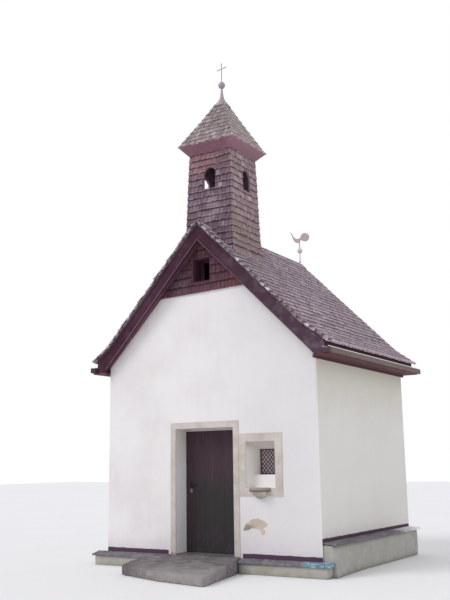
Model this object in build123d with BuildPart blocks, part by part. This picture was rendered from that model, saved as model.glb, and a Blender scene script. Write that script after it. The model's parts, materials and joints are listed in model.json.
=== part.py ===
# Small rendered chapel with a shingled gable roof, a ridge turret and a weathercock.
# Millimetres. X to the right seen from the door, Y to the rear, Z up from the ground.
# The origin is the middle of the wall footprint, at ground level.
from build123d import *
from math import cos, pi, radians, sin, tan
import os

os.makedirs("parts", exist_ok=True)

# Walls
wall_width = 4090
wall_length = 3630
wall_thick = 400
threshold_z = 230
eaves_height = 3000

# Doorway, a little left of the middle of the front wall
door_centre_x = -40
doorway_width = 1130
doorway_height = 2010
reveal_depth = 300
rebate_width = 80
surround_band = 100
surround_proud = 12

# Door leaf of planks with its clearances in the frame
leaf_thick = 45
leaf_lap = 15
door_gap = 6
door_stop_gap = 5
door_floor_gap = 8
plank_count = 6
plank_groove_width = 4
plank_groove_depth = 4

# Lever handle and lock plate on each face of the leaf
handle_inset = 105
handle_height = 1090
handle_plate_width = 38
handle_plate_height = 190
handle_plate_thick = 4
handle_plate_corner = 18
lever_length = 120
lever_radius = 8
lever_reach = 42

# Strap hinges that turn on gudgeon pins
hinge_pin_radius = 9
hinge_eye_radius = 16
hinge_eye_gap = 0.5
hinge_seat_gap = 2
hinge_heights = (300, 1650)
strap_length = 620
strap_height = 44
strap_thick = 6
gudgeon_length = 46
gudgeon_height = 14
gudgeon_foot = 20
pin_rise = 6

# Window niche: a splayed opening with a step at its back, over which a small barred window lies
surround_gap = 5
niche_width = 530
niche_sill = 1050
niche_height = 720
niche_depth = 320
niche_band = 125
niche_step = 125
niche_step_batter = 40
window_width = 400
window_sill = 1250
window_height = 405
lattice_spacing = 62
lattice_bar = 9
lattice_angle = 42
lattice_frame = 22
lattice_frame_thick = 14
lattice_set_back = 25

# Half-round holy-water bowl under the niche
bowl_radius = 178
bowl_rim_height = 62
bowl_rim_rise = 8
bowl_depth = 168
cup_radius = 130
cup_wall = 24
cup_band_count = 5
bowl_prism_count = 8

# Main roof: depths are taken at right angles to the slope, upwards from the rafters' underside
roof_pitch = 45.3
plate_height = 133
plate_width = 180
rafter_depth = 139
rafter_width = 100
inner_rafter_count = 5
rafter_overhang = 170
board_thick = 22
board_overhang = 185
shingle_thick = 52
shingle_butt = 14
course_count = 25
eave_overhang = 285
eave_edge_thick = 44
kick_length = 380
kick_rise = 120
ridge_cap_thick = 20
ridge_cap_width = 150
verge_at_ridge = 220
verge_at_eave = 120
rear_verge = 80
shingle_verge = 30
barge_thick = 32
barge_drop = 33
barge_gutter_gap = 5
eave_board_thick = 25
soffit_reach = 295
frieze_height = 60

# Wooden gutters
gutter_reach = 202
gutter_width = 108
gutter_height = 95
gutter_groove = 76
gutter_front_reach = 180
gutter_rear_reach = 245

# Shingled gables and the hatch in the front one
gable_height = 910
gable_side_gap = 4
gable_shingle_thick = 32
gable_shingle_thin = 14
gable_course = 135
hatch_width = 380
hatch_offset = -65
hatch_rise = 180
hatch_head_gap = 40
hatch_lining = 25
hatch_lining_depth = 240

# Ridge turret: half widths, and heights over the ridge
turret_setback = 630
turret_foot_half = 525
turret_scribe = 70
turret_low_half = 487
turret_flare_drop = 201
turret_top_half = 440
turret_height = 1339
turret_wall = 70
arch_width = 245
arch_sill_rise = 660
arch_height = 390
side_arch_setback = 75
turret_eave_half = 585
turret_eave_rise = 160
turret_waist_half = 292
turret_low_roof = 515
turret_apex_half = 62
turret_high_roof = 435
turret_roof_butt = 11
turret_roof_courses = 9

# Metal finial over the turret: a skirt, a tapered neck and a ball, with the cross on top
skirt_radius = 88
skirt_height = 94
neck_low_radius = 33
neck_height = 176
neck_top_radius = 18
finial_ball_radius = 65
cap_radius = 11
cap_height = 40
cross_height = 375
cross_arm_drop = 112
cross_arm_length = 200
cross_bar = 12
cross_knob_radius = 11
ball_band_count = 8
round_prism_count = 6
knob_prism_count = 4
cross_turn = -12

# Weathercock at the rear end of the ridge
cock_setback = 15
cock_pole_radius = 11
cock_pole_height = 256
cock_ball_radius = 56
cock_spindle_radius = 7
cock_spindle_length = 215
cock_sleeve_radius = 13
cock_sleeve_gap = 0.5
cock_sleeve_rise = 4
cock_sheet = 6
cock_turn = 27
cock_tail_radius = 92
cock_tail_out = 114
cock_tail_rise = 78

# Plinths, their cover slabs and the landing
front_plinth_out = 165
front_slab_out = 200
front_slab_drop = 8
front_slab_fall = 42
slab_gap_clear = 40
right_plinth_out = 170
right_slab_out = 212
right_slab_height = 270
right_slab_fall = 20
right_slab_rear_reach = 25
left_slab_out = 200
slab_thick = 35
landing_gap = 2
landing_pitch = 3.55
landing_corners = ((755, 0), (1065, 1430), (165, 1250), (-835, 880), (-1025, 0))

# Places that follow from the sizes above
half_width = wall_width / 2
front_y = -wall_length / 2
rear_y = wall_length / 2
inner_front_y = front_y + wall_thick
inner_rear_y = rear_y - wall_thick
inner_x = half_width - wall_thick
wall_top_z = threshold_z + eaves_height
door_left_x = door_centre_x - doorway_width / 2
door_right_x = door_centre_x + doorway_width / 2
doorway_head_z = threshold_z + doorway_height
niche_centre_x = door_right_x + surround_band + surround_gap + niche_band + niche_width / 2
niche_sill_z = threshold_z + niche_sill
window_sill_z = threshold_z + window_sill
window_head_z = window_sill_z + window_height
slope = tan(radians(roof_pitch))
lean = cos(radians(roof_pitch))
rafter_apex_z = wall_top_z + plate_height + half_width * slope
board_offset = rafter_depth + board_thick
shingle_offset = board_offset + shingle_thick
ridge_z = rafter_apex_z + (shingle_offset + ridge_cap_thick) / lean
board_end_x = half_width + board_overhang
eave_x = half_width + eave_overhang
gutter_inner_x = half_width + gutter_reach
soffit_x = half_width + soffit_reach
soffit_top_z = wall_top_z + frieze_height
gable_foot_z = rafter_apex_z - gable_height
hatch_foot_z = gable_foot_z + hatch_rise
hatch_head_z = rafter_apex_z - (abs(hatch_offset) + hatch_width / 2) * slope - hatch_head_gap
hatch_height = hatch_head_z - hatch_foot_z
hatch_middle = (hatch_offset, hatch_foot_z + hatch_height / 2)
turret_y = front_y + turret_setback
turret_top_z = ridge_z + turret_height
turret_eave_z = turret_top_z + turret_eave_rise


def roof_z(x, offset):
    """Height of the roof plane that lies offset above the rafters' underside."""
    return rafter_apex_z - abs(x) * slope + offset / lean


def on_side(points, side):
    """The same outline on the right (side 1) or the left (side -1) of the ridge."""
    return [(side * x, z) for x, z in points]


def kick(x):
    """How far the shingles lift over the main pitch near the eave."""
    return max(0.0, (x - eave_x + kick_length) / kick_length) * kick_rise


def verge_y(x, proud):
    """Front edge of the roof, which leans out towards the ridge."""
    reach = verge_at_ridge - (verge_at_ridge - verge_at_eave) * abs(x) / eave_x
    return front_y - reach - proud


def finish_part(builder, name):
    """Label one finished piece and write its file."""
    builder.part.label = name
    export_step(builder.part, "parts/" + name + ".step")


# Floor slab with a tongue through the doorway, its underside on the ground
with BuildPart() as floor_slab:
    with BuildSketch(Plane.XY):
        Rectangle(2 * inner_x, inner_rear_y - inner_front_y)
        with Locations((door_centre_x, (front_y + inner_front_y) / 2)):
            Rectangle(doorway_width, wall_thick)
    extrude(amount=threshold_z)
finish_part(floor_slab, "floor_slab")


def front_wall_plan(outer_x, reveal_x, rebate_x):
    """Plan of the wall beside the doorway, with the rebate for the door frame."""
    return [
        (outer_x, front_y),
        (reveal_x, front_y),
        (reveal_x, front_y + reveal_depth),
        (rebate_x, front_y + reveal_depth),
        (rebate_x, inner_front_y),
        (outer_x, inner_front_y),
    ]


# Front wall to the left of the doorway
with BuildPart() as front_wall_left:
    with BuildSketch(Plane.XY):
        with BuildLine():
            Polyline(*front_wall_plan(-half_width, door_left_x, door_left_x - rebate_width), close=True)
        make_face()
    extrude(amount=doorway_head_z)
finish_part(front_wall_left, "front_wall_left")

# Front wall to the right of the doorway, with the splayed window niche
with BuildPart() as front_wall_right:
    with BuildSketch(Plane.XY):
        with BuildLine():
            Polyline(*front_wall_plan(half_width, door_right_x, door_right_x + rebate_width), close=True)
        make_face()
    extrude(amount=doorway_head_z)
    with BuildSketch(Plane.XZ.offset(-front_y)):
        with Locations((niche_centre_x, niche_sill_z + niche_height / 2)):
            Rectangle(niche_width, niche_height)
    with BuildSketch(Plane.XZ.offset(-front_y - niche_depth)):
        with Locations((niche_centre_x, (niche_sill_z + window_head_z) / 2)):
            Rectangle(window_width, window_head_z - niche_sill_z)
    loft(ruled=True, mode=Mode.SUBTRACT)
    step_back_y = front_y + niche_depth
    with BuildSketch(Plane.YZ.offset(niche_centre_x - niche_width / 2)):
        with BuildLine():
            Polyline(
                (step_back_y, niche_sill_z),
                (step_back_y, window_sill_z),
                (step_back_y - niche_step, window_sill_z),
                (step_back_y - niche_step - niche_step_batter, niche_sill_z),
                close=True,
            )
        make_face()
    extrude(amount=niche_width)
    with BuildSketch(Plane.XZ.offset(-inner_front_y)):
        with Locations((niche_centre_x, window_sill_z + window_height / 2)):
            Rectangle(window_width, window_height)
    extrude(amount=wall_thick - niche_depth, mode=Mode.SUBTRACT)
finish_part(front_wall_right, "front_wall_right")


def gable_outline(low_z):
    """Masonry gable from the level given up to the underside of the rafters."""
    return [
        (-half_width, low_z),
        (half_width, low_z),
        (half_width, roof_z(half_width, 0)),
        (0, rafter_apex_z),
        (-half_width, roof_z(half_width, 0)),
    ]


# Front gable wall over the doorway, with the hole for the hatch lining
with BuildPart() as front_gable_wall:
    with BuildSketch(Plane.XZ.offset(-front_y)):
        with BuildLine():
            Polyline(*gable_outline(doorway_head_z), close=True)
        make_face()
        with Locations(hatch_middle):
            Rectangle(hatch_width, hatch_height, mode=Mode.SUBTRACT)
    extrude(amount=-wall_thick)
    with BuildSketch(Plane.XY.offset(doorway_head_z)):
        with Locations((door_centre_x, (front_y + reveal_depth + inner_front_y) / 2)):
            Rectangle(doorway_width + 2 * rebate_width, wall_thick - reveal_depth)
    extrude(amount=rebate_width, mode=Mode.SUBTRACT)
finish_part(front_gable_wall, "front_gable_wall")

# Rear wall with its gable
with BuildPart() as rear_wall:
    with BuildSketch(Plane.XZ.offset(-rear_y)):
        with BuildLine():
            Polyline(*gable_outline(0), close=True)
        make_face()
    extrude(amount=wall_thick)
finish_part(rear_wall, "rear_wall")

# Side walls between the two gable walls
for name, side in (("left_wall", -1), ("right_wall", 1)):
    with BuildPart() as side_wall:
        with BuildSketch(Plane.XY):
            with Locations((side * (half_width - wall_thick / 2), 0)):
                Rectangle(wall_thick, inner_rear_y - inner_front_y)
        extrude(amount=wall_top_z)
    finish_part(side_wall, name)

# Timber wall plates on the side walls, planed to the rafters' slope
plate_inner_x = half_width - plate_width
plate_outline = [
    (plate_inner_x, wall_top_z),
    (half_width, wall_top_z),
    (half_width, roof_z(half_width, 0)),
    (plate_inner_x, roof_z(plate_inner_x, 0)),
]
with BuildPart() as wall_plates:
    for side in (-1, 1):
        with BuildSketch(Plane.XZ.offset(-inner_front_y)):
            with BuildLine():
                Polyline(*on_side(plate_outline, side), close=True)
            make_face()
        extrude(amount=-(inner_rear_y - inner_front_y))
finish_part(wall_plates, "wall_plates")

# The roof's pieces are cut from long sections, which start and stop clear of both gables
roof_start_y = front_y - 2 * (verge_at_ridge + shingle_verge)
roof_stop_y = rear_y + 2 * (rear_verge + shingle_verge)
roof_run = roof_start_y - roof_stop_y


def roof_section(outline):
    """Face of a roof section, standing in front of the front gable."""
    with BuildSketch(Plane.XZ.offset(-roof_start_y)) as section:
        with BuildLine():
            Polyline(*outline, close=True)
        make_face()
    return section.sketch


def plan_face(plan):
    """Face of a plan outline on the ground."""
    with BuildSketch(Plane.XY) as face:
        with BuildLine():
            Polyline(*plan, close=True)
        make_face()
    return face.sketch


def roof_plan(side, x_end, proud):
    """Plan outline of one roof slope with its leaning front verge."""
    x1 = side * x_end
    y_end = rear_y + rear_verge + proud
    return [(0, verge_y(0, proud)), (x1, verge_y(x1, proud)), (x1, y_end), (0, y_end)]


# Rafters: underside on the walls, tails cut level over the soffit boards
rafter_tail_x = half_width + rafter_overhang
tail_under_x = (rafter_apex_z - soffit_top_z) / slope
rafter_outline = [
    (0, rafter_apex_z),
    (0, roof_z(0, rafter_depth)),
    (rafter_tail_x, roof_z(rafter_tail_x, rafter_depth)),
    (rafter_tail_x, soffit_top_z),
    (tail_under_x, soffit_top_z),
]
rafter_span = wall_length - wall_thick / 2
rafter_step = rafter_span / (inner_rafter_count - 1)


def rafter_plans(side):
    """Plan outlines of the rafters on one side of the ridge."""
    x_end = side * rafter_tail_x
    plans = []
    for i in range(inner_rafter_count):
        low_y = i * rafter_step - (rafter_span + rafter_width) / 2
        high_y = low_y + rafter_width
        plans.append([(0, low_y), (x_end, low_y), (x_end, high_y), (0, high_y)])
    front_mid = verge_y(0, -barge_thick)
    front_end = verge_y(x_end, -barge_thick)
    plans.append([(0, front_mid), (x_end, front_end), (x_end, front_y), (0, front_y)])
    rear_back = rear_y + rear_verge - barge_thick
    plans.append([(0, rear_y), (x_end, rear_y), (x_end, rear_back), (0, rear_back)])
    return plans


for name, side in (("rafters_left", -1), ("rafters_right", 1)):
    with BuildPart() as rafters:
        extrude(roof_section(on_side(rafter_outline, side)), amount=roof_run)
        with BuildSketch(Plane.XY):
            for plan in rafter_plans(side):
                with BuildLine():
                    Polyline(*plan, close=True)
                make_face()
        extrude(amount=ridge_z, mode=Mode.INTERSECT)
    finish_part(rafters, name)

# Roof boards
board_outline = [
    (0, roof_z(0, rafter_depth)),
    (0, roof_z(0, board_offset)),
    (board_end_x, roof_z(board_end_x, board_offset)),
    (board_end_x, roof_z(board_end_x, rafter_depth)),
]
for name, side in (("roof_boards_left", -1), ("roof_boards_right", 1)):
    with BuildPart() as roof_boards:
        extrude(roof_section(on_side(board_outline, side)), amount=roof_run)
        extrude(plan_face(roof_plan(side, board_end_x, -barge_thick)), amount=ridge_z, mode=Mode.INTERSECT)
    finish_part(roof_boards, name)

# Shingle coat in stepped courses, with a slight kick at the eave
course_step = eave_x / course_count
eave_edge_z = roof_z(eave_x, shingle_offset) + kick_rise
shingle_outline = [(0, roof_z(0, board_offset))]
for course in range(course_count):
    upper_x = course * course_step
    lower_x = upper_x + course_step
    shingle_outline.append((upper_x, roof_z(upper_x, shingle_offset - shingle_butt) + kick(upper_x)))
    shingle_outline.append((lower_x, roof_z(lower_x, shingle_offset) + kick(lower_x)))
shingle_outline.append((eave_x, eave_edge_z - eave_edge_thick))
shingle_outline.append((board_end_x, roof_z(board_end_x, board_offset)))
for name, side in (("roof_shingles_left", -1), ("roof_shingles_right", 1)):
    with BuildPart() as roof_shingles:
        extrude(roof_section(on_side(shingle_outline, side)), amount=roof_run)
        extrude(plan_face(roof_plan(side, eave_x, shingle_verge)), amount=ridge_z, mode=Mode.INTERSECT)
    finish_part(roof_shingles, name)


def barge_outline(side):
    """Front view of one barge board, plumb cut at its foot."""
    end_x = gutter_inner_x - barge_gutter_gap
    foot_x = (roof_z(0, -barge_drop) - soffit_top_z) / slope
    return on_side([
        (0, roof_z(0, -barge_drop)),
        (0, roof_z(0, board_offset)),
        (end_x, roof_z(end_x, board_offset)),
        (end_x, soffit_top_z),
        (foot_x, soffit_top_z),
    ], side)


def barge_plan(side, at_front):
    """Plan of one barge board, along the leaning front verge or the straight rear one."""
    x1 = side * eave_x
    if at_front:
        outer = [(0, verge_y(0, 0)), (x1, verge_y(x1, 0))]
        return outer + [(x1, verge_y(x1, -barge_thick)), (0, verge_y(0, -barge_thick))]
    y_out = rear_y + rear_verge
    return [(0, y_out - barge_thick), (x1, y_out - barge_thick), (x1, y_out), (0, y_out)]


# Barge boards on both gables
for name, side, at_front in (
    ("barge_front_left", -1, True),
    ("barge_front_right", 1, True),
    ("barge_rear_left", -1, False),
    ("barge_rear_right", 1, False),
):
    with BuildPart() as barge:
        extrude(roof_section(barge_outline(side)), amount=roof_run)
        extrude(plan_face(barge_plan(side, at_front)), amount=ridge_z, mode=Mode.INTERSECT)
    finish_part(barge, name)

# Eave boards: a frieze on the wall head and a level soffit out to the gutter
eave_outline = [
    (half_width, wall_top_z),
    (half_width + eave_board_thick, wall_top_z),
    (half_width + eave_board_thick, soffit_top_z - eave_board_thick),
    (soffit_x, soffit_top_z - eave_board_thick),
    (soffit_x, soffit_top_z),
    (half_width, soffit_top_z),
]
with BuildPart() as eave_boards:
    for side in (-1, 1):
        with BuildSketch(Plane.XZ.offset(-front_y + verge_at_eave)):
            with BuildLine():
                Polyline(*on_side(eave_outline, side), close=True)
            make_face()
        extrude(amount=-(wall_length + verge_at_eave + rear_verge))
finish_part(eave_boards, "eave_boards")

# Wooden gutters, each a log with a round trough
for name, side in (("gutter_left", -1), ("gutter_right", 1)):
    middle_x = side * (gutter_inner_x + gutter_width / 2)
    with BuildPart() as gutter:
        with BuildSketch(Plane.XZ.offset(-front_y + gutter_front_reach)):
            with Locations((middle_x, soffit_top_z + gutter_height / 2)):
                Rectangle(gutter_width, gutter_height)
            with Locations((middle_x, soffit_top_z + gutter_height)):
                Circle(gutter_groove / 2, mode=Mode.SUBTRACT)
        extrude(amount=-(wall_length + gutter_front_reach + gutter_rear_reach))
    finish_part(gutter, name)

# Shingled gable triangles between the rakes, in courses that each lap the one below
gable_half = gable_height / slope - gable_side_gap
gable_tip_z = gable_foot_z + gable_half * slope
gable_triangle = [(-gable_half, gable_foot_z), (gable_half, gable_foot_z), (0, gable_tip_z)]


def gable_courses(y_face, outward):
    """Section through the gable shingles."""
    points = [(y_face, gable_foot_z)]
    z = gable_foot_z
    while z < gable_tip_z:
        points.append((y_face + outward * gable_shingle_thick, z))
        z = min(z + gable_course, gable_tip_z)
        points.append((y_face + outward * gable_shingle_thin, z))
    points.append((y_face, gable_tip_z))
    return points


for name, y_face, outward in (
    ("gable_shingles_front", front_y, -1),
    ("gable_shingles_rear", rear_y, 1),
):
    with BuildPart() as gable_shingles:
        with BuildSketch(Plane.XZ.offset(-y_face)):
            with BuildLine():
                Polyline(*gable_triangle, close=True)
            make_face()
            if outward < 0:
                with Locations(hatch_middle):
                    Rectangle(hatch_width, hatch_height, mode=Mode.SUBTRACT)
        extrude(amount=-outward * gable_shingle_thick)
        with BuildSketch(Plane.YZ.offset(-half_width)):
            with BuildLine():
                Polyline(*gable_courses(y_face, outward), close=True)
            make_face()
        extrude(amount=wall_width, mode=Mode.INTERSECT)
    finish_part(gable_shingles, name)

# Lining boards of the gable hatch
with BuildPart() as hatch_frame:
    with BuildSketch(Plane.XZ.offset(-front_y)):
        with Locations(hatch_middle):
            Rectangle(hatch_width, hatch_height)
            Rectangle(hatch_width - 2 * hatch_lining, hatch_height - 2 * hatch_lining, mode=Mode.SUBTRACT)
    extrude(amount=-hatch_lining_depth)
finish_part(hatch_frame, "hatch_frame")

# Turret: the four walls come from one tapered shell with a flared foot
turret_base_z = roof_z(turret_foot_half, shingle_offset) - turret_scribe
turret_flare_z = ridge_z - turret_flare_drop


def faceted_solid(centre, profile, prism_count):
    """Upright solid that a number of crossed prisms have in common: one runs on along X, two give a
    square plan, six give twelve sides. The profile gives half width and height, from the bottom up."""
    outline = [(-half, z) for half, z in profile] + [(half, z) for half, z in reversed(profile)]
    reach = 2 * max(half for half, z in profile)
    with BuildPart() as body:
        for prism in range(prism_count):
            along = Vector(1, 0, 0).rotate(Axis.Z, 180 * prism / prism_count)
            across = Vector(0, 1, 0).rotate(Axis.Z, 180 * prism / prism_count)
            with BuildSketch(Plane(origin=Vector(*centre, 0) - along * reach, x_dir=across, z_dir=along)):
                with BuildLine():
                    Polyline(*outline, close=True)
                make_face()
            extrude(amount=2 * reach, mode=Mode.INTERSECT if prism else Mode.ADD)
    return body.part


outer_levels = [
    (turret_foot_half, turret_base_z),
    (turret_low_half, turret_flare_z),
    (turret_top_half, turret_top_z),
]
inner_levels = [
    (turret_low_half - turret_wall, turret_base_z),
    (turret_low_half - turret_wall, turret_flare_z),
    (turret_top_half - turret_wall, turret_top_z),
]
turret_middle = (0, turret_y)
turret_outer = faceted_solid(turret_middle, outer_levels, 2)
turret_inner = faceted_solid(turret_middle, inner_levels, 2)
turret_inner_wide = faceted_solid(turret_middle, inner_levels, 1)

# The wedge of the main roof that the turret walls are scribed to
with BuildPart() as roof_wedge:
    wedge_reach = 2 * turret_foot_half
    with BuildSketch(Plane.XZ.offset(-turret_y + wedge_reach)):
        with BuildLine():
            Polyline(
                (-wedge_reach, roof_z(wedge_reach, shingle_offset)),
                (0, roof_z(0, shingle_offset)),
                (wedge_reach, roof_z(wedge_reach, shingle_offset)),
                close=True,
            )
        make_face()
    extrude(amount=-2 * wedge_reach)

# Round-headed openings through both pairs of walls
arch_radius = arch_width / 2
arch_sill_z = ridge_z + arch_sill_rise
arch_spring_z = arch_sill_z + arch_height - arch_radius


def arch_sketch():
    """Outline of one round-headed opening. Used inside a sketch."""
    with Locations((0, (arch_sill_z + arch_spring_z) / 2)):
        Rectangle(arch_width, arch_spring_z - arch_sill_z)
    with Locations((0, arch_spring_z)):
        Circle(arch_radius)


with BuildPart() as arch_cutter:
    with BuildSketch(Plane.XZ.offset(-turret_y + turret_foot_half)):
        arch_sketch()
    extrude(amount=-2 * turret_foot_half)
    side_arch_y = turret_y + side_arch_setback
    with BuildSketch(Plane(origin=(-turret_foot_half, side_arch_y, 0), x_dir=(0, 1, 0), z_dir=(1, 0, 0))):
        arch_sketch()
    extrude(amount=2 * turret_foot_half)

with BuildPart() as turret_gable_walls:
    add(turret_outer)
    add(turret_inner_wide, mode=Mode.SUBTRACT)
    add(roof_wedge.part, mode=Mode.SUBTRACT)
    add(arch_cutter.part, mode=Mode.SUBTRACT)

with BuildPart() as turret_side_walls:
    add(turret_outer)
    add(turret_inner_wide, mode=Mode.INTERSECT)
    add(turret_inner, mode=Mode.SUBTRACT)
    add(roof_wedge.part, mode=Mode.SUBTRACT)
    add(arch_cutter.part, mode=Mode.SUBTRACT)

wall_pieces = (
    ("turret_wall_front", turret_gable_walls.part.solids().sort_by(Axis.Y)[0]),
    ("turret_wall_rear", turret_gable_walls.part.solids().sort_by(Axis.Y)[-1]),
    ("turret_wall_left", turret_side_walls.part.solids().sort_by(Axis.X)[0]),
    ("turret_wall_right", turret_side_walls.part.solids().sort_by(Axis.X)[-1]),
)
for name, solid in wall_pieces:
    with BuildPart() as turret_wall_piece:
        add(solid)
    finish_part(turret_wall_piece, name)

# Ridge cap of two rows of shingles, cut away where the turret stands on the ridge
cap_x = ridge_cap_width * lean
cap_outline = [
    (0, roof_z(0, shingle_offset)),
    (cap_x, roof_z(cap_x, shingle_offset)),
    (cap_x, roof_z(cap_x, shingle_offset + ridge_cap_thick)),
    (0, ridge_z),
    (-cap_x, roof_z(cap_x, shingle_offset + ridge_cap_thick)),
    (-cap_x, roof_z(cap_x, shingle_offset)),
]
with BuildPart() as ridge_cap:
    cap_front_y = verge_y(0, shingle_verge)
    with BuildSketch(Plane.XZ.offset(-cap_front_y)):
        with BuildLine():
            Polyline(*cap_outline, close=True)
        make_face()
    extrude(amount=cap_front_y - (rear_y + rear_verge + shingle_verge))
    add(turret_outer, mode=Mode.SUBTRACT)
finish_part(ridge_cap, "ridge_cap")

# Sloping eave boards under the turret roof, as a tapered ring
with BuildPart() as turret_eave_boards:
    outer_flare = [(turret_top_half, turret_top_z), (turret_eave_half, turret_eave_z)]
    inner_flare = [(half - turret_wall, z) for half, z in outer_flare]
    add(faceted_solid(turret_middle, outer_flare, 2))
    add(faceted_solid(turret_middle, inner_flare, 2), mode=Mode.SUBTRACT)
finish_part(turret_eave_boards, "turret_eave_boards")

# Turret roof: a hollow pyramid of stepped shingle courses, steeper over its waist
turret_waist_z = turret_eave_z + turret_low_roof
turret_apex_z = turret_waist_z + turret_high_roof


def turret_roof_half(z):
    """Half width of the turret roof at a height."""
    if z < turret_waist_z:
        up = (z - turret_eave_z) / turret_low_roof
        return turret_eave_half + (turret_waist_half - turret_eave_half) * up
    up = (z - turret_waist_z) / turret_high_roof
    return turret_waist_half + (turret_apex_half - turret_waist_half) * up


roof_step = (turret_apex_z - turret_eave_z) / turret_roof_courses
roof_profile = []
for course in range(turret_roof_courses):
    low_z = turret_eave_z + course * roof_step
    high_z = low_z + roof_step
    roof_profile.append((turret_roof_half(low_z), low_z))
    roof_profile.append((turret_roof_half(high_z) - turret_roof_butt, high_z))
roof_hollow = [
    (turret_eave_half - turret_wall, turret_eave_z),
    (turret_apex_half, turret_waist_z + roof_step),
]
with BuildPart() as turret_roof:
    add(faceted_solid(turret_middle, roof_profile, 2))
    add(faceted_solid(turret_middle, roof_hollow, 2), mode=Mode.SUBTRACT)
finish_part(turret_roof, "turret_roof")

# Finial: the skirt slips over the roof's tip, and the neck carries the ball
neck_foot_z = turret_apex_z + skirt_height
neck_top_z = neck_foot_z + neck_height
finial_ball_z = neck_top_z + finial_ball_radius
finial_top_z = finial_ball_z + finial_ball_radius + cap_height


def ball_profile(radius, middle_z):
    """Points up the side of a ball with narrow flats, between its two poles, as distance out and height."""
    steps = [pi * band / ball_band_count for band in range(1, ball_band_count)]
    return [(radius * sin(step), middle_z - radius * cos(step)) for step in steps]


finial_profile = [
    (skirt_radius, turret_apex_z),
    (neck_low_radius, neck_foot_z),
    (neck_top_radius, neck_top_z),
    *ball_profile(finial_ball_radius, finial_ball_z),
    (cap_radius, finial_ball_z + finial_ball_radius),
    (cross_bar / 2, finial_top_z),
]
with BuildPart() as finial:
    add(faceted_solid(turret_middle, finial_profile, round_prism_count))
finish_part(finial, "finial")

# Cross of flat bar with a knob at each end, turned a little on its foot
cross_top_z = finial_top_z + cross_height - cap_height
cross_arm_z = cross_top_z - cross_arm_drop
cross_knob = faceted_solid((0, 0), ball_profile(cross_knob_radius, 0), knob_prism_count)
with BuildPart() as cross:
    arm_dir = Vector(1, 0, 0).rotate(Axis.Z, cross_turn)
    cross_plane = Plane(origin=(0, turret_y, 0), x_dir=arm_dir, z_dir=(0, 0, 1))
    with BuildSketch(cross_plane.offset(finial_top_z)):
        Rectangle(cross_bar, cross_bar)
    extrude(amount=cross_top_z - cross_knob_radius - finial_top_z)
    with BuildSketch(cross_plane.offset(cross_arm_z - cross_bar / 2)):
        Rectangle(cross_arm_length, cross_bar)
    extrude(amount=cross_bar)
    knob_reach = cross_arm_length / 2
    with Locations(cross_plane.offset(cross_arm_z)):
        with Locations((-knob_reach, 0, 0), (knob_reach, 0, 0), (0, 0, cross_arm_drop - cross_knob_radius)):
            add(cross_knob)
finish_part(cross, "cross")

# Weathercock pole: it stands on the ridge cap, with a ball and a thin spindle on top
cock_y = rear_y - cock_setback
cock_ball_z = ridge_z + cock_pole_height
cock_spindle_top_z = cock_ball_z + cock_spindle_length
with BuildPart() as weathercock_pole:
    with BuildSketch(Plane.XY.offset(ridge_z)):
        with Locations((0, cock_y)):
            Circle(cock_pole_radius)
    extrude(amount=cock_ball_z - ridge_z)
    add(faceted_solid((0, cock_y), ball_profile(cock_ball_radius, cock_ball_z), round_prism_count))
    with BuildSketch(Plane.XY.offset(cock_ball_z)):
        with Locations((0, cock_y)):
            Circle(cock_spindle_radius)
    extrude(amount=cock_spindle_length)
finish_part(weathercock_pole, "weathercock_pole")

# Weathercock: a sheet-metal cock on a sleeve that turns on the spindle.
# Its outline runs from the beak along the belly to the tail and back along the hollow back,
# in X and height over the spindle's top.
sleeve_low_z = cock_ball_z + cock_ball_radius + cock_sleeve_rise
sleeve_top_z = cock_spindle_top_z + 3 * cock_sleeve_radius
cock_belly = [(-212, 205), (-150, 90), (-112, 3), (-32, -45), (16, 0), (62, 38)]
cock_back = [(80, 100), (16, 67), (-52, 46), (-109, 83), (-141, 135), (-212, 205)]
with BuildPart() as weathercock:
    turned_x = Vector(1, 0, 0).rotate(Axis.Z, cock_turn)
    turned_y = Vector(0, 1, 0).rotate(Axis.Z, cock_turn)
    cock_plane = Plane(
        origin=Vector(0, cock_y, cock_spindle_top_z) + turned_y * (cock_sheet / 2),
        x_dir=turned_x,
        z_dir=-turned_y,
    )
    with BuildSketch(cock_plane):
        with BuildLine():
            Spline(*cock_belly)
            Line(cock_belly[-1], cock_back[0])
            Spline(*cock_back)
        make_face()
        with Locations((cock_tail_out, cock_tail_rise)):
            Circle(cock_tail_radius)
    extrude(amount=cock_sheet)
    with BuildSketch(Plane.XY.offset(sleeve_low_z)):
        with Locations((0, cock_y)):
            Circle(cock_sleeve_radius)
    extrude(amount=sleeve_top_z - sleeve_low_z)
    with BuildSketch(Plane.XY.offset(sleeve_low_z)):
        with Locations((0, cock_y)):
            Circle(cock_spindle_radius + cock_sleeve_gap)
    extrude(amount=cock_spindle_top_z + cock_sleeve_rise - sleeve_low_z, mode=Mode.SUBTRACT)
finish_part(weathercock, "weathercock")


def band_sketch(x_middle, width, low_z, height, band, open_foot):
    """Flat band round an opening, with or without its bottom length. Used inside a sketch."""
    foot = 0 if open_foot else band
    with Locations((x_middle, low_z + (height + band - foot) / 2)):
        Rectangle(width + 2 * band, height + band + foot)
    with Locations((x_middle, low_z + height / 2)):
        Rectangle(width, height, mode=Mode.SUBTRACT)


# Surrounds of the doorway and of the window niche, just proud of the plaster
with BuildPart() as door_surround:
    with BuildSketch(Plane.XZ.offset(-front_y)):
        band_sketch(door_centre_x, doorway_width, threshold_z, doorway_height, surround_band, True)
    extrude(amount=surround_proud)
finish_part(door_surround, "door_surround")

with BuildPart() as window_surround:
    with BuildSketch(Plane.XZ.offset(-front_y)):
        band_sketch(niche_centre_x, niche_width, niche_sill_z, niche_height, niche_band, False)
    extrude(amount=surround_proud)
finish_part(window_surround, "window_surround")

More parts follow.
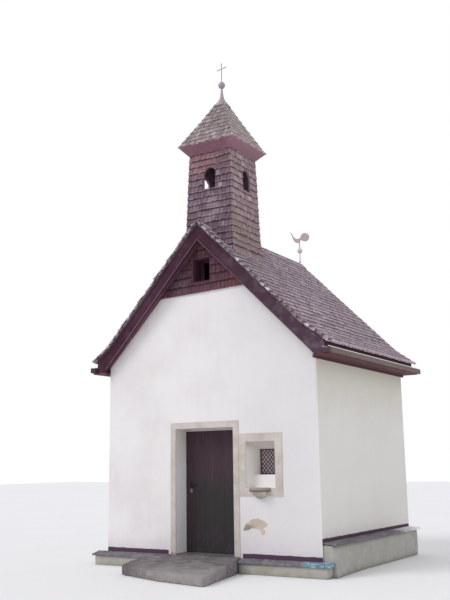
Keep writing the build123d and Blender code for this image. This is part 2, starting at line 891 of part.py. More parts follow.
# Timber door frame in the rebate behind the reveal
frame_front_y = front_y + reveal_depth
leaf_width = doorway_width + 2 * leaf_lap
leaf_height = doorway_height + leaf_lap - door_floor_gap
with BuildPart() as door_frame:
    with BuildSketch(Plane.XZ.offset(-frame_front_y)):
        inner_height = doorway_height + leaf_lap + door_gap
        jamb = rebate_width - leaf_lap - door_gap
        band_sketch(door_centre_x, leaf_width + 2 * door_gap, threshold_z, inner_height, jamb, True)
    extrude(amount=-(door_stop_gap + leaf_thick))
finish_part(door_frame, "door_frame")

# Door leaf of upright planks, hung on the right jamb
leaf_front_y = frame_front_y + door_stop_gap
leaf_back_y = leaf_front_y + leaf_thick
leaf_low_z = threshold_z + door_floor_gap
with BuildPart() as door_leaf:
    with BuildSketch(Plane.XY.offset(leaf_low_z)):
        with Locations((door_centre_x, (leaf_front_y + leaf_back_y) / 2)):
            Rectangle(leaf_width, leaf_thick)
        plank = leaf_width / plank_count
        for i in range(1, plank_count):
            with Locations((door_centre_x - leaf_width / 2 + i * plank, leaf_front_y)):
                Rectangle(plank_groove_width, plank_groove_depth, mode=Mode.SUBTRACT)
    extrude(amount=leaf_height)
finish_part(door_leaf, "door_leaf")

# Lever handles and lock plates on both faces of the leaf
handle_x = door_left_x + handle_inset
handle_z = threshold_z + handle_height
with BuildPart() as door_handles:
    for face_y, outward in ((leaf_front_y, -1), (leaf_back_y, 1)):
        with BuildSketch(Plane.XZ.offset(-face_y)):
            with Locations((handle_x, handle_z - handle_plate_height / 4)):
                RectangleRounded(handle_plate_width, handle_plate_height, handle_plate_corner)
        extrude(amount=-outward * handle_plate_thick)
        with BuildSketch(Plane.XZ.offset(-face_y)):
            with Locations((handle_x, handle_z)):
                Circle(lever_radius)
        extrude(amount=-outward * lever_reach)
        with BuildSketch(Plane.YZ.offset(handle_x - lever_radius)):
            with Locations((face_y + outward * (lever_reach - lever_radius), handle_z)):
                Circle(lever_radius)
        extrude(amount=lever_length)
finish_part(door_handles, "door_handles")

# Strap hinges on the inner face, with eyes that turn on the gudgeon pins
hinge_x = door_centre_x + leaf_width / 2 + door_gap / 2
hinge_y = leaf_back_y + hinge_eye_radius + hinge_seat_gap
with BuildPart() as hinge_straps:
    for height in hinge_heights:
        level = threshold_z + height
        with BuildSketch(Plane.XZ.offset(-leaf_back_y)):
            with Locations((hinge_x - strap_length / 2, level)):
                Rectangle(strap_length, strap_height)
        extrude(amount=-strap_thick)
        with BuildSketch(Plane.XY.offset(level - strap_height / 2)):
            with Locations((hinge_x, hinge_y)):
                Circle(hinge_eye_radius)
            with Locations((hinge_x - hinge_eye_radius / 2, (leaf_back_y + hinge_y) / 2)):
                Rectangle(hinge_eye_radius, hinge_y - leaf_back_y)
        extrude(amount=strap_height)
        with BuildSketch(Plane.XY.offset(level - strap_height / 2)):
            with Locations((hinge_x, hinge_y)):
                Circle(hinge_pin_radius + hinge_eye_gap)
        extrude(amount=strap_height, mode=Mode.SUBTRACT)
finish_part(hinge_straps, "hinge_straps")

# Gudgeons: an upright pin on an arm whose foot is screwed to the frame
with BuildPart() as hinge_pins:
    for height in hinge_heights:
        seat_z = threshold_z + height - strap_height / 2 - hinge_seat_gap
        foot_x = hinge_x + gudgeon_length - gudgeon_foot / 2
        with BuildSketch(Plane.XY.offset(seat_z - gudgeon_height)):
            with Locations((hinge_x, hinge_y)):
                Circle(hinge_eye_radius)
            with Locations((hinge_x + gudgeon_length / 2, hinge_y)):
                Rectangle(gudgeon_length, 2 * hinge_pin_radius)
            with Locations((foot_x, (leaf_back_y + hinge_y) / 2)):
                Rectangle(gudgeon_foot, hinge_y - leaf_back_y)
        extrude(amount=gudgeon_height)
        with BuildSketch(Plane.XY.offset(seat_z)):
            with Locations((hinge_x, hinge_y)):
                Circle(hinge_pin_radius)
        extrude(amount=strap_height + pin_rise)
finish_part(hinge_pins, "hinge_pins")

# Diagonal lattice of the window, fused where its bars cross, in a flat iron frame
lattice_plane = Plane.XZ.offset(-front_y - niche_depth - lattice_set_back)
bar_count = 2 * int((window_width + window_height) / (2 * lattice_spacing)) + 1
bar_length = 2 * (window_width + window_height)
with BuildPart() as window_lattice:
    with BuildSketch(lattice_plane):
        with Locations((niche_centre_x, window_sill_z + window_height / 2)):
            with GridLocations(lattice_spacing, 0, bar_count, 1):
                Rectangle(lattice_bar, bar_length, rotation=lattice_angle)
            with GridLocations(lattice_spacing, 0, bar_count, 1):
                Rectangle(lattice_bar, bar_length, rotation=-lattice_angle)
            Rectangle(window_width, window_height, mode=Mode.INTERSECT)
    extrude(amount=-lattice_bar)
    with BuildSketch(lattice_plane):
        with Locations((niche_centre_x, window_sill_z + window_height / 2)):
            Rectangle(window_width, window_height)
            Rectangle(window_width - 2 * lattice_frame, window_height - 2 * lattice_frame, mode=Mode.SUBTRACT)
    extrude(amount=-lattice_frame_thick)
finish_part(window_lattice, "window_lattice")

# Half-round bowl on the surround: a round rim over a spherical cup, hollowed from above
bowl_face_y = front_y - surround_proud
bowl_rim_z = niche_sill_z + bowl_rim_rise
cup_low_z = bowl_rim_z - bowl_depth
hollow_low_z = cup_low_z + cup_wall


def cup_profile(radius, top_z, low_z):
    """Profile of a round cup from near its lowest point up to its rim, hewn in flats."""
    steps = [pi / 2 * (1 - band / cup_band_count) for band in range(1, cup_band_count + 1)]
    lowest = [(radius * cos(steps[0]) / 2, low_z)]
    return lowest + [(radius * cos(step), top_z - (top_z - low_z) * sin(step)) for step in steps]


bowl_middle = (niche_centre_x, bowl_face_y)
rim_low_z = bowl_rim_z - bowl_rim_height
with BuildPart() as holy_water_bowl:
    add(faceted_solid(bowl_middle, [(bowl_radius, rim_low_z), (bowl_radius, bowl_rim_z)], bowl_prism_count))
    add(faceted_solid(bowl_middle, cup_profile(cup_radius, rim_low_z, cup_low_z), bowl_prism_count))
    hollow = cup_profile(cup_radius - cup_wall, bowl_rim_z, hollow_low_z)
    add(faceted_solid(bowl_middle, hollow, bowl_prism_count), mode=Mode.SUBTRACT)
    split(bisect_by=Plane.XZ.offset(-bowl_face_y), keep=Keep.TOP)
finish_part(holy_water_bowl, "holy_water_bowl")


# Front plinth and its cover slabs, in two lengths beside the doorway
def slab_outline(wall_z, edge_z, reach):
    """Section of a cover slab that falls away from the wall, as distance out and height."""
    return [(0, wall_z), (reach, edge_z), (reach, edge_z - slab_thick), (0, wall_z - slab_thick)]


def plinth_outline(wall_z, edge_z, reach, slab_reach):
    """Section of the plinth under such a slab."""
    fall = (wall_z - edge_z) / slab_reach
    return [(0, 0), (reach, 0), (reach, wall_z - slab_thick - fall * reach), (0, wall_z - slab_thick)]


front_slab_wall_z = threshold_z - front_slab_drop
front_slab_edge_z = front_slab_wall_z - front_slab_fall
right_slab_wall_z = threshold_z + right_slab_height
right_slab_edge_z = right_slab_wall_z - right_slab_fall
slab_nosing = front_slab_out - front_plinth_out
slab_gap_left_x = door_left_x - surround_band - slab_gap_clear
slab_gap_right_x = door_right_x + surround_band + slab_gap_clear
left_end_x = -half_width - left_slab_out
with BuildPart() as ledge_front:
    for x0, x1 in ((left_end_x, slab_gap_left_x), (slab_gap_right_x, half_width + right_slab_out)):
        outline = slab_outline(front_slab_wall_z, front_slab_edge_z, front_slab_out)
        with BuildSketch(Plane.YZ.offset(x0)):
            with BuildLine():
                Polyline(*[(front_y - out, z) for out, z in outline], close=True)
            make_face()
        extrude(amount=x1 - x0)
finish_part(ledge_front, "ledge_front")

with BuildPart() as plinth_front:
    for x0, x1 in (
        (left_end_x + slab_nosing, slab_gap_left_x),
        (slab_gap_right_x, half_width + right_plinth_out),
    ):
        outline = plinth_outline(front_slab_wall_z, front_slab_edge_z, front_plinth_out, front_slab_out)
        with BuildSketch(Plane.YZ.offset(x0)):
            with BuildLine():
                Polyline(*[(front_y - out, z) for out, z in outline], close=True)
            make_face()
        extrude(amount=x1 - x0)
finish_part(plinth_front, "plinth_front")

# Side plinths: the right one stands higher, the left one keeps the front's level
right_end_y = rear_y + right_slab_rear_reach
left_plinth_out = left_slab_out - slab_nosing
side_runs = (
    (1, right_slab_wall_z, right_slab_edge_z, right_slab_out, right_plinth_out, right_end_y),
    (-1, front_slab_wall_z, front_slab_edge_z, left_slab_out, left_plinth_out, rear_y),
)
with BuildPart() as ledge_sides:
    for side, wall_z, edge_z, slab_out, plinth_out, end_y in side_runs:
        outline = slab_outline(wall_z, edge_z, slab_out)
        with BuildSketch(Plane.XZ.offset(-front_y)):
            with BuildLine():
                Polyline(*[(side * (half_width + out), z) for out, z in outline], close=True)
            make_face()
        extrude(amount=front_y - end_y)
finish_part(ledge_sides, "ledge_sides")

with BuildPart() as plinth_sides:
    for side, wall_z, edge_z, slab_out, plinth_out, end_y in side_runs:
        outline = plinth_outline(wall_z, edge_z, plinth_out, slab_out)
        with BuildSketch(Plane.XZ.offset(-front_y)):
            with BuildLine():
                Polyline(*[(side * (half_width + out), z) for out, z in outline], close=True)
            make_face()
        extrude(amount=front_y - (end_y - slab_nosing))
finish_part(plinth_sides, "plinth_sides")

# Landing in front of the door: an irregular slab with a tongue between the cover slabs, falling to the front.
# Its corners are given from the middle of the door and out from the front plinth's slab.
landing_back_y = front_y - front_slab_out - landing_gap
landing_outline = [(door_centre_x + across, landing_back_y - out) for across, out in landing_corners]
landing_run = front_y - min(y for x, y in landing_outline)
landing_low_z = threshold_z - landing_run * tan(radians(landing_pitch))
tongue_width = slab_gap_right_x - slab_gap_left_x - 2 * landing_gap
with BuildPart() as landing:
    with BuildSketch(Plane.XY):
        with BuildLine():
            Polyline(*landing_outline, close=True)
        make_face()
        with Locations(((slab_gap_left_x + slab_gap_right_x) / 2, (front_y + landing_back_y) / 2)):
            Rectangle(tongue_width, front_y - landing_back_y)
    extrude(amount=threshold_z)
    with BuildSketch(Plane.YZ.offset(-half_width)):
        with BuildLine():
            Polyline(
                (front_y, threshold_z),
                (front_y - landing_run, landing_low_z),
                (front_y - landing_run, threshold_z),
                close=True,
            )
        make_face()
    extrude(amount=wall_width, mode=Mode.SUBTRACT)
finish_part(landing, "landing")
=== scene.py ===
import json
import random
from math import atan2, cos, pi, radians, sin

import bmesh
import bpy
import numpy as np
from mathutils import Matrix, Vector, noise

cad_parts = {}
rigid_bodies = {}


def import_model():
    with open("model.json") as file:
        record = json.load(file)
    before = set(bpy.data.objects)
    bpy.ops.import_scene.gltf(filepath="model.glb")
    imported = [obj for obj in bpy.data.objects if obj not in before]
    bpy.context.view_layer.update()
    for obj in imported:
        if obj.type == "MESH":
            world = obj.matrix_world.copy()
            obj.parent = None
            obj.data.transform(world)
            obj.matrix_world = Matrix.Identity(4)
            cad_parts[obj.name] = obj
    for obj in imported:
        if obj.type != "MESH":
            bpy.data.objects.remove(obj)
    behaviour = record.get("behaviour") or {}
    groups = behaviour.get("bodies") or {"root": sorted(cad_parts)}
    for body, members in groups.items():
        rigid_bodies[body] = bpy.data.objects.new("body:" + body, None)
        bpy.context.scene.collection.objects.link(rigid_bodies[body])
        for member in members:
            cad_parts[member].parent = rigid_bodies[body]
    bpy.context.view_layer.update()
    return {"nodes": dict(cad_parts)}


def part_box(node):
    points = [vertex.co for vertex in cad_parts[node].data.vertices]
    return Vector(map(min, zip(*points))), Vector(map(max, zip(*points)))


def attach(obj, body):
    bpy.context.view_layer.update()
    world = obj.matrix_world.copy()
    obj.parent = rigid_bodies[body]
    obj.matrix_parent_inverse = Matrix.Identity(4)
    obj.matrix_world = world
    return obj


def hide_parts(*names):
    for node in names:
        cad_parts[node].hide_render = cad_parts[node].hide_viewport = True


bl_info = {
    "name": "Small chapel",
    "version": (1, 0, 0),
    "blender": (4, 5, 0),
    "location": "3D View > Sidebar > Chapel",
    "description": "Dresses the chapel's packed frame with shingles, plaster, boards, stone and ironwork",
    "category": "Object",
}

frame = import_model()
nodes = frame["nodes"]

# Places of the frame, in metres
WALL_LOW, WALL_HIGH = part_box("front_gable_wall")
WALL_HALF = WALL_HIGH.x
FRONT_Y = WALL_LOW.y
IN_FRONT_WALL = (FRONT_Y + 0.004, FRONT_Y + 0.008)
RIDGE_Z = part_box("ridge_cap")[1].z
TURRET_LOW, TURRET_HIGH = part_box("turret_wall_right")
TURRET_Y = (TURRET_LOW.y + TURRET_HIGH.y) / 2
TURRET_AXIS = Vector((0, TURRET_Y, 0))
TURRET_FOOT_HALF, TURRET_BEND_HALF, TURRET_TOP_HALF = 0.525, 0.487, 0.440
TURRET_BEND_Z = RIDGE_Z - 0.201
TURRET_GAP = 0.49
ROOF_LOW, ROOF_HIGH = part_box("roof_shingles_right")
ROOF_RUN = ROOF_HIGH.x
VERGE_RIDGE_Y, VERGE_REAR_Y = ROOF_LOW.y, ROOF_HIGH.y
ROOF_SLOPE = 1.01053
ROOF_TOP_Z = 5.7323
KICK_RISE = 0.12
KICK_START_X = ROOF_RUN - 0.38
VERGE_DRAW_IN = 0.10
RIDGE_COURSE = 0.115
BARGE_DROP = 0.3028
SPIRE_WAIST_HALF, SPIRE_WAIST_RISE, SPIRE_TOP_HALF = 0.302, 0.515, 0.074
BOARD_BACK, BOARD_FACE = -0.046, -0.026
FASCIA_X, FASCIA_LOW_Z, FASCIA_HEIGHT = 2.205, 3.292, 0.222
GABLE_LOW, GABLE_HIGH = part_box("gable_shingles_front")
GABLE_LEAN = 0.030
GABLE_COURSES = 6
HATCH_LOW, HATCH_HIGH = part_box("hatch_frame")
ARCH_HALF = 0.1225
ARCH_SILL_Z = RIDGE_Z + 0.660
ARCH_SPRING_Z = ARCH_SILL_Z + 0.390 - ARCH_HALF
SIDE_ARCH_SETBACK = 0.075
SIDES = ((1, "right"), (-1, "left"))
SHAPE_COUNT, SHAPE_HALF = 7, 0.492
PLINTH_DEPTH = 0.12
FLARE_TOP_Z, FLARE_REAR_Y, FLARE_RUN, FLARE_REACH = 0.45, -0.4, 1.4, 0.080
QUARTER = [pi / 2 * i / 10 for i in range(11)]
BROKEN_PATCH = [
    (0.68, 0.622), (0.737, 0.73), (0.829, 0.80), (0.956, 0.817), (1.062, 0.79), (1.131, 0.739),
    (1.103, 0.686), (1.05, 0.685), (1.092, 0.604), (1.03, 0.565), (0.969, 0.646), (0.88, 0.673),
    (0.79, 0.641)]
FLOOR_REACH = 60.0
KEY_ANGLE, KEY_TURN = radians(28), (radians(48), 0, radians(-38))
CAMERA_PLACE = (7.627, -13.305, 1.627)
CAMERA_YAW, CAMERA_PITCH, CAMERA_ROLL = radians(-32.15), radians(11.29), radians(-0.78)


def linear(code):
    """An sRGB hex colour as the linear values that a shader takes."""
    parts = [int(code[i:i + 2], 16) / 255 for i in (1, 3, 5)]
    return tuple(v / 12.92 if v <= 0.04045 else ((v + 0.055) / 1.055) ** 2.4 for v in parts) + (1.0,)


def shade(colour, share=1.0):
    """A colour given as hex or as linear values, darkened to a share of its light."""
    values = linear(colour) if isinstance(colour, str) else tuple(colour)
    return tuple(share * v for v in values[:3]) + (1.0,)


def colour_prop(name, description, code):
    """A colour that a user would change, with its default as sRGB hex."""
    return bpy.props.FloatVectorProperty(
        name=name, description=description, subtype="COLOR", size=4, min=0, max=1, default=linear(code))


def count_prop(name, description, default, least):
    """A whole number that a user would change."""
    return bpy.props.IntProperty(name=name, description=description, default=default, min=least)


def length_prop(name, description, default, least):
    """A length that a user would change, in metres."""
    return bpy.props.FloatProperty(
        name=name, description=description, default=default, min=least, subtype="DISTANCE", unit="LENGTH")


class ChapelShingles(bpy.types.PropertyGroup):
    roof_courses: count_prop("Roof courses", "Courses of shingles from the eave to the ridge", 25, 10)
    turret_courses: count_prop("Turret courses", "Courses on each turret wall", 16, 6)
    spire_courses: count_prop("Turret roof courses", "Courses on each side of the turret roof", 10, 4)
    narrowest: length_prop("Narrowest shingle", "Least width of a shingle", 0.055, 0.03)
    widest: length_prop("Widest shingle", "Greatest width of a shingle", 0.120, 0.04)
    thickness: length_prop("Butt thickness", "Thickness of a shingle at its lower end", 0.016, 0.005)
    seed: count_prop("Seed", "Seed of the shingles' scatter", 7, 0)


class ChapelColours(bpy.types.PropertyGroup):
    plaster: colour_prop("Limewash", "White limewash of the walls", "#F2EEED")
    band: colour_prop("Base band", "Painted band along the foot of the walls", "#5C4258")
    surround: colour_prop("Surrounds", "Beige render round the door and the niche", "#D9CEC9")
    roof_dark: colour_prop("Roof shingle, dark", "Weathered roof shingles, darkest", "#87727D")
    roof_light: colour_prop("Roof shingle, light", "Weathered roof shingles, lightest", "#D6C3CD")
    turret_front: colour_prop("Turret front shingle", "Shingles of the turret's shaded faces", "#927885")
    turret_side: colour_prop("Turret side shingle", "Shingles of the turret's sunny faces", "#C2A6AC")
    gable: colour_prop("Gable shingle", "Red-brown shingles of the gables", "#744E5A")
    board: colour_prop("Barge board", "Stained barge and eave boards", "#42202F")
    door: colour_prop("Door", "Stained planks of the door", "#4F3D45")


class ChapelStage(bpy.types.PropertyGroup):
    lens: bpy.props.FloatProperty(
        name="Lens", description="Focal length of the camera", default=49.79, min=10, unit="CAMERA")
    key: bpy.props.FloatProperty(
        name="Key light", description="Strength of the soft key light", default=0.95, min=0)
    sky: bpy.props.FloatProperty(
        name="Sky light", description="Strength of the even light from all round", default=0.80, min=0)


def add(tree, kind, inputs=None, **settings):
    """Adds a node with its settings. Each input gets its value, or a link from the output given for it."""
    made = tree.nodes.new(kind)
    for key, value in settings.items():
        setattr(made, key, value)
    for key, value in (inputs or {}).items():
        if isinstance(value, bpy.types.NodeSocket):
            tree.links.new(value, made.inputs[key])
        else:
            made.inputs[key].default_value = value
    return made


class Finish:
    """A material while its layers are put on: the place on the object, the colour so far and the relief."""

    def __init__(self, name, colour, roughness, metallic=0.0, gloss=0.5):
        self.material = bpy.data.materials.new(name)
        self.material.use_nodes = True
        self.tree = self.material.node_tree
        self.tree.nodes.clear()
        self.place = add(self.tree, "ShaderNodeTexCoord").outputs["Object"]
        self.shader = add(self.tree, "ShaderNodeBsdfPrincipled", {
            "Roughness": roughness, "Metallic": metallic, "Specular IOR Level": gloss})
        add(self.tree, "ShaderNodeOutputMaterial", {"Surface": self.shader.outputs["BSDF"]})
        self.colour = shade(colour)
        self.relief, self.depth = None, 0.0

    def reckon(self, operation, *values):
        """Masks and numbers put together by the operation named."""
        return add(self.tree, "ShaderNodeMath", dict(enumerate(values)), operation=operation).outputs[0]

    def ramp(self, value, start, stop):
        """A mask that is 0 where the value is at start and 1 where it is at stop."""
        return add(
            self.tree, "ShaderNodeMapRange",
            {"Value": value, "From Min": start, "From Max": stop}).outputs["Result"]

    def blotches(self, size, low, high, stretch=(1, 1, 1), turn=(0, 0, 0), detail=4.0, source=None):
        """Blotches of a size in metres, drawn out by stretch: 0 where the noise is under low, 1 over high."""
        placed = add(
            self.tree, "ShaderNodeMapping",
            {"Vector": source or self.place, "Rotation": turn, "Scale": stretch}, vector_type="TEXTURE")
        spots = add(
            self.tree, "ShaderNodeTexNoise",
            {"Vector": placed.outputs[0], "Scale": 1 / size, "Detail": detail})
        return self.ramp(spots.outputs[0], low, high)

    def cloud(self, size):
        """Soft noise that moves the edge of a mask."""
        return self.blotches(size, 0.3, 0.7)

    def near(self, spot, reach, waver):
        """A mask round a place on the object, from 1 inside half the reach to 0 at the reach."""
        away = add(self.tree, "ShaderNodeVectorMath", {0: self.place, 1: spot}, operation="DISTANCE")
        return self.ramp(self.reckon("MULTIPLY_ADD", waver, reach / 2, away.outputs[1]), reach, reach / 2)

    def mask(self, *masks, x=(), y=(), z=()):
        """Masks multiplied. A span along x, y or z adds a mask from 0 at its start to 1 at its stop. It may
        go on with noise that moves its edge, and how far. A list holds several spans."""
        parts = list(masks)
        for axis, spans in enumerate((x, y, z)):
            for start, stop, *waver in spans if isinstance(spans, list) else filter(None, (spans,)):
                value = add(self.tree, "ShaderNodeSeparateXYZ", {"Vector": self.place}).outputs[axis]
                if waver:
                    value = self.reckon("MULTIPLY_ADD", *waver, value)
                parts.append(self.ramp(value, start, stop))
        whole = parts[0]
        for part in parts[1:]:
            whole = self.reckon("MULTIPLY", whole, part)
        return whole

    def lay(self, colour, strength, *masks, **spans):
        """Lays a colour over the ones so far, where the masks and spans meet."""
        share = self.mask(*masks, **spans)
        if strength < 1:
            share = self.reckon("MULTIPLY", share, strength)
        inputs = {0: share, 6: self.colour, 7: shade(colour)}
        self.colour = add(self.tree, "ShaderNodeMix", inputs, data_type="RGBA").outputs[2]

    def done(self, relief=None, depth=None):
        """Joins colour and relief to the shader and gives the material."""
        self.tree.links.new(self.colour, self.shader.inputs["Base Color"])
        relief, depth = relief or self.relief, depth or self.depth
        if relief:
            bump = add(self.tree, "ShaderNodeBump", {"Height": relief, "Distance": depth, "Strength": 1.0})
            self.tree.links.new(bump.outputs[0], self.shader.inputs["Normal"])
        return self.material


def dress(material, *names):
    """Gives one material to whole nodes of the frame."""
    for name in names:
        mesh = nodes[name].data
        mesh.materials.clear()
        mesh.materials.append(material)


def put(name, data):
    """A new object in the scene."""
    thing = bpy.data.objects.new(name, data)
    bpy.context.scene.collection.objects.link(thing)
    return thing


def place_piece(name, mesh, slot, *replaces, finish=None, body="chapel"):
    """Puts a finished mesh in the scene as a piece that rides on a body."""
    if finish:
        mesh.materials.append(finish)
    piece = put(name, mesh)
    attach(piece, body)
    if replaces:
        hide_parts(*replaces)


def limewash():
    """Lime plaster with a brushed limewash: matt, near white, faintly blotched, stained and painted with
    shade under the eaves, with painted light and shade at the doorway and the niche, and painted shade
    inside.
    """
    colours = bpy.context.scene.chapel_colours
    coat = Finish("limewashed_plaster", colours.plaster, 0.9, gloss=0.2)
    waver = coat.cloud(0.30)
    coat.lay("#E2DBDA", 0.5, coat.blotches(0.9, 0.42, 0.66))
    coat.lay("#EFECEC", 0.6, coat.blotches(0.35, 0.50, 0.74, detail=6.0))
    coat.lay("#D3CBC8", 0.12, coat.blotches(0.10, 0.50, 0.78, stretch=(1, 1, 9)))
    # the front greys to the right, and the right wall is yellower, with an olive stain of moss under the eave
    # that is also painted shade
    coat.lay("#DFDCDD", 0.6, x=(-0.3, 1.6), y=(FRONT_Y + 0.010, FRONT_Y + 0.005))
    coat.lay("#BDB78E", 0.7, x=(2.0, 2.04), z=(2.45, 3.22, waver, 0.25))
    coat.lay("#E9E6DB", 0.6, x=(2.0, 2.04))
    # splashes of earth low on the walls
    coat.lay("#D9CCD4", 0.45, z=(0.75, 0.20, waver, 0.3))
    coat.lay("#A39C98", 0.5, coat.blotches(0.035, 0.66, 0.74), z=(1.9, 0.3))
    # painted band: over the low ledges on both sides of the door, and higher over the right one
    wobble = coat.cloud(0.12)
    low_band = (0.291, 0.287, wobble, 0.010)
    beside_door = coat.reckon(
        "MAXIMUM", coat.mask(x=(-0.735, -0.745, wobble, 0.02)), coat.mask(x=(0.675, 0.685, wobble, 0.02)))
    coat.lay(colours.band, 1, beside_door, y=(FRONT_Y + 0.002, FRONT_Y + 0.001), z=low_band)
    coat.lay(
        colours.band, 1, x=(WALL_HALF - 0.002, WALL_HALF - 0.001),
        z=[(0.553, 0.549, wobble, 0.010), (0.455, 0.465)])
    coat.lay(colours.band, 1, x=(0.002 - WALL_HALF, 0.001 - WALL_HALF), z=low_band)
    # painted light: the doorway's reveal is lightened, and it turns beige towards the head
    reveal = coat.mask(x=[(-0.66, -0.65), (-0.54, -0.55)], y=IN_FRONT_WALL, z=(2.3, 2.25))
    coat.lay("#FFFDFC", 0.9, reveal)
    coat.lay("#D6D0C2", 0.6, reveal, z=(1.5, 2.2))
    # painted light and shade: the niche's left side is warmed, and it is brown under its head as painted
    # shade
    niche = coat.mask(
        x=[(0.745, 0.750), (1.300, 1.295)], y=[IN_FRONT_WALL, (-1.40, -1.41)],
        z=[(1.27, 1.275), (2.02, 2.01)])
    coat.lay("#EFECE4", 0.6, niche, x=(1.0, 0.8))
    coat.lay("#BDB0A2", 0.6, niche, z=(1.88, 1.99, waver, 0.03))
    # the hatch is lined with dark boards
    coat.lay("#C092AC", 1, z=(4.62, 4.64))
    coat.lay("#8A6078", 1, coat.blotches(0.05, 0.44, 0.5, stretch=(1, 1, 30), detail=0.0), z=(4.62, 4.64))
    # painted shade: inside, the walls are painted a dark mauve
    coat.lay("#584650", 1, x=[(-1.66, -1.65), (1.66, 1.65)], y=[(-1.44, -1.43), (1.44, 1.43)])
    grit = coat.blotches(0.022, 0.2, 0.8, detail=8.0)
    swells = coat.blotches(0.45, 0.2, 0.8, detail=1.0)
    return coat.done(coat.reckon("MULTIPLY_ADD", swells, 6.0, grit), 0.0016)


def mineral(name, base, dark, light, patch, grain, depth):
    """Stone, render or cement: blotched at the size of a patch, speckled at the size of its grain."""
    coat = Finish(name, base, 0.9, gloss=0.2)
    coat.lay(dark, 0.8, coat.blotches(patch, 0.38, 0.68))
    coat.lay(light, 0.7, coat.blotches(patch * 0.45, 0.52, 0.72, detail=6.0))
    coat.relief, coat.depth = coat.blotches(grain, 0.3, 0.75, detail=6.0), depth
    coat.lay(dark, 0.25, coat.relief)
    return coat


def timber(name, base, dark, light, stretch, turn=(0, 0, 0)):
    """Sawn or stained wood: grain drawn out along the board, and blotches where it has weathered."""
    coat = Finish(name, base, 0.75, gloss=0.15)
    coat.relief = coat.blotches(0.012, 0.35, 0.7, stretch=stretch, turn=turn, detail=6.0)
    coat.depth = 0.0012
    coat.lay(dark, 0.6, coat.relief)
    coat.lay(light, 0.5, coat.blotches(0.22, 0.5, 0.75, stretch=stretch, turn=turn))
    return coat


def planed(name, base, dark, light, stretch):
    """Smooth painted wood: the colours of timber with no relief."""
    coat = timber(name, base, dark, light, stretch)
    coat.relief = None
    return coat.done()


def metal(name, base, spot, roughness, metallic):
    """Painted or bare metal that has dulled outdoors."""
    coat = Finish(name, base, roughness, metallic)
    coat.lay(spot, 0.6, coat.blotches(0.03, 0.45, 0.7))
    return coat.done(coat.blotches(0.004, 0.3, 0.7), 0.0004)


def shingle_finish(
        name, dark, light, fresh, moss, moss_size, moss_share, exposure=0.13, zones=(), newer=0.93, spots=(),
        worn=0.35, gloom_reach=0.034):
    """Riven larch gone grey in the weather. Each shingle has its own tint, and some are newer. Zones are
    bands of height with a colour of their own, as start, stop, colour and share, and spots are places with
    one, as place, reach, colour and share."""
    coat = Finish(name, dark, 0.82, gloss=0.15)
    tint = add(coat.tree, "ShaderNodeAttribute", attribute_name="tint").outputs["Fac"]
    grain_map = add(coat.tree, "ShaderNodeUVMap", uv_map="grain").outputs["UV"]
    split = add(coat.tree, "ShaderNodeSeparateXYZ", {"Vector": grain_map}).outputs
    shifted = add(
        coat.tree, "ShaderNodeVectorMath", {0: tint, 1: (37.0, 91.0, 13.0), 2: grain_map},
        operation="MULTIPLY_ADD").outputs[0]
    coat.lay(light, 1, coat.ramp(tint, 0.05, 0.95))
    coat.lay(fresh, 0.8, coat.ramp(tint, newer, newer + 0.02))
    for start, stop, colour, share in zones:
        coat.lay(colour, share, z=(start, stop, coat.cloud(0.25), 0.3))
    for spot, reach, colour, share in spots:
        coat.lay(colour, share, coat.near(spot, reach, coat.cloud(0.2)))
    grain = coat.blotches(0.008, 0.42, 0.62, stretch=(1, 14, 1), source=shifted, detail=5.0)
    coat.lay(dark, 0.6, grain)
    # the lower end is worn pale and has a painted highlight; painted shade lies under the next course and on
    # sawn ends, and the joints are dark
    painted_shade_and_joints = shade(dark, 0.32)
    coat.lay(fresh, worn, coat.ramp(split[1], 0.030, 0.010))
    coat.lay(painted_shade_and_joints, 0.85, coat.ramp(split[1], exposure - gloom_reach, exposure - gloom_reach / 3))
    coat.lay(painted_shade_and_joints, 0.75, coat.ramp(coat.reckon("ABSOLUTE", split[0]), 0.040, 0.049))
    coat.lay(painted_shade_and_joints, 0.8, coat.ramp(split[1], -0.05, -0.06))
    coat.lay(moss, moss_share, coat.blotches(moss_size, 0.45, 0.7))
    return coat.done(grain, 0.0015)


class Slope:
    """A face of a roof or wall as a line in section, from its foot up, the way it looks and its middle."""

    def __init__(self, section, outward, middle=(0.0, 0.0, 0.0)):
        self.section = [Vector(p) for p in section]
        self.out = Vector(outward)
        self.along = Vector((0, 0, 1)).cross(self.out)
        self.middle = Vector(middle)
        self.runs = [(b - a).length for a, b in zip(self.section, self.section[1:])]
        self.length = sum(self.runs)

    def at(self, climb):
        """Distance out and height at a distance up the face."""
        for i, run in enumerate(self.runs):
            if climb <= run or i == len(self.runs) - 1:
                return self.section[i] + (self.section[i + 1] - self.section[i]) * (climb / run)
            climb -= run

    def spread(self, mesh):
        """Moves a mesh from the flat layout, as along, up and off the face, to its place on the face."""
        flat = np.zeros(len(mesh.vertices) * 3)
        mesh.vertices.foreach_get("co", flat)
        flat = flat.reshape(-1, 3)
        out = np.zeros(len(flat))
        up = np.zeros(len(flat))
        start = 0.0
        for i, run in enumerate(self.runs):
            step = (self.section[i + 1] - self.section[i]) / run
            low = -np.inf if i == 0 else start
            high = np.inf if i == len(self.runs) - 1 else start + run
            here = (flat[:, 1] >= low) & (flat[:, 1] < high)
            climb = flat[here, 1] - start
            out[here] = self.section[i].x + step.x * climb + step.y * flat[here, 2]
            up[here] = self.section[i].y + step.y * climb - step.x * flat[here, 2]
            start += run
        world = np.outer(flat[:, 0], self.along) + np.outer(out, self.out) + np.outer(up, (0, 0, 1))
        world += np.array(self.middle)
        mesh.vertices.foreach_set("co", world.ravel())
        mesh.update()


def course(rng, start, stop, sizes, share=1.0):
    """Middles and widths of the shingles of one course, side by side from start to stop."""
    spans = []
    edge = start
    least, most = sizes.narrowest * share, sizes.widest * share
    while edge < stop - 0.01:
        width = rng.uniform(least, most)
        if stop - edge - width < least:
            width = stop - edge
            if width > most * 1.15:
                width /= 2
        spans.append((edge + width / 2, width))
        edge += width
    return spans


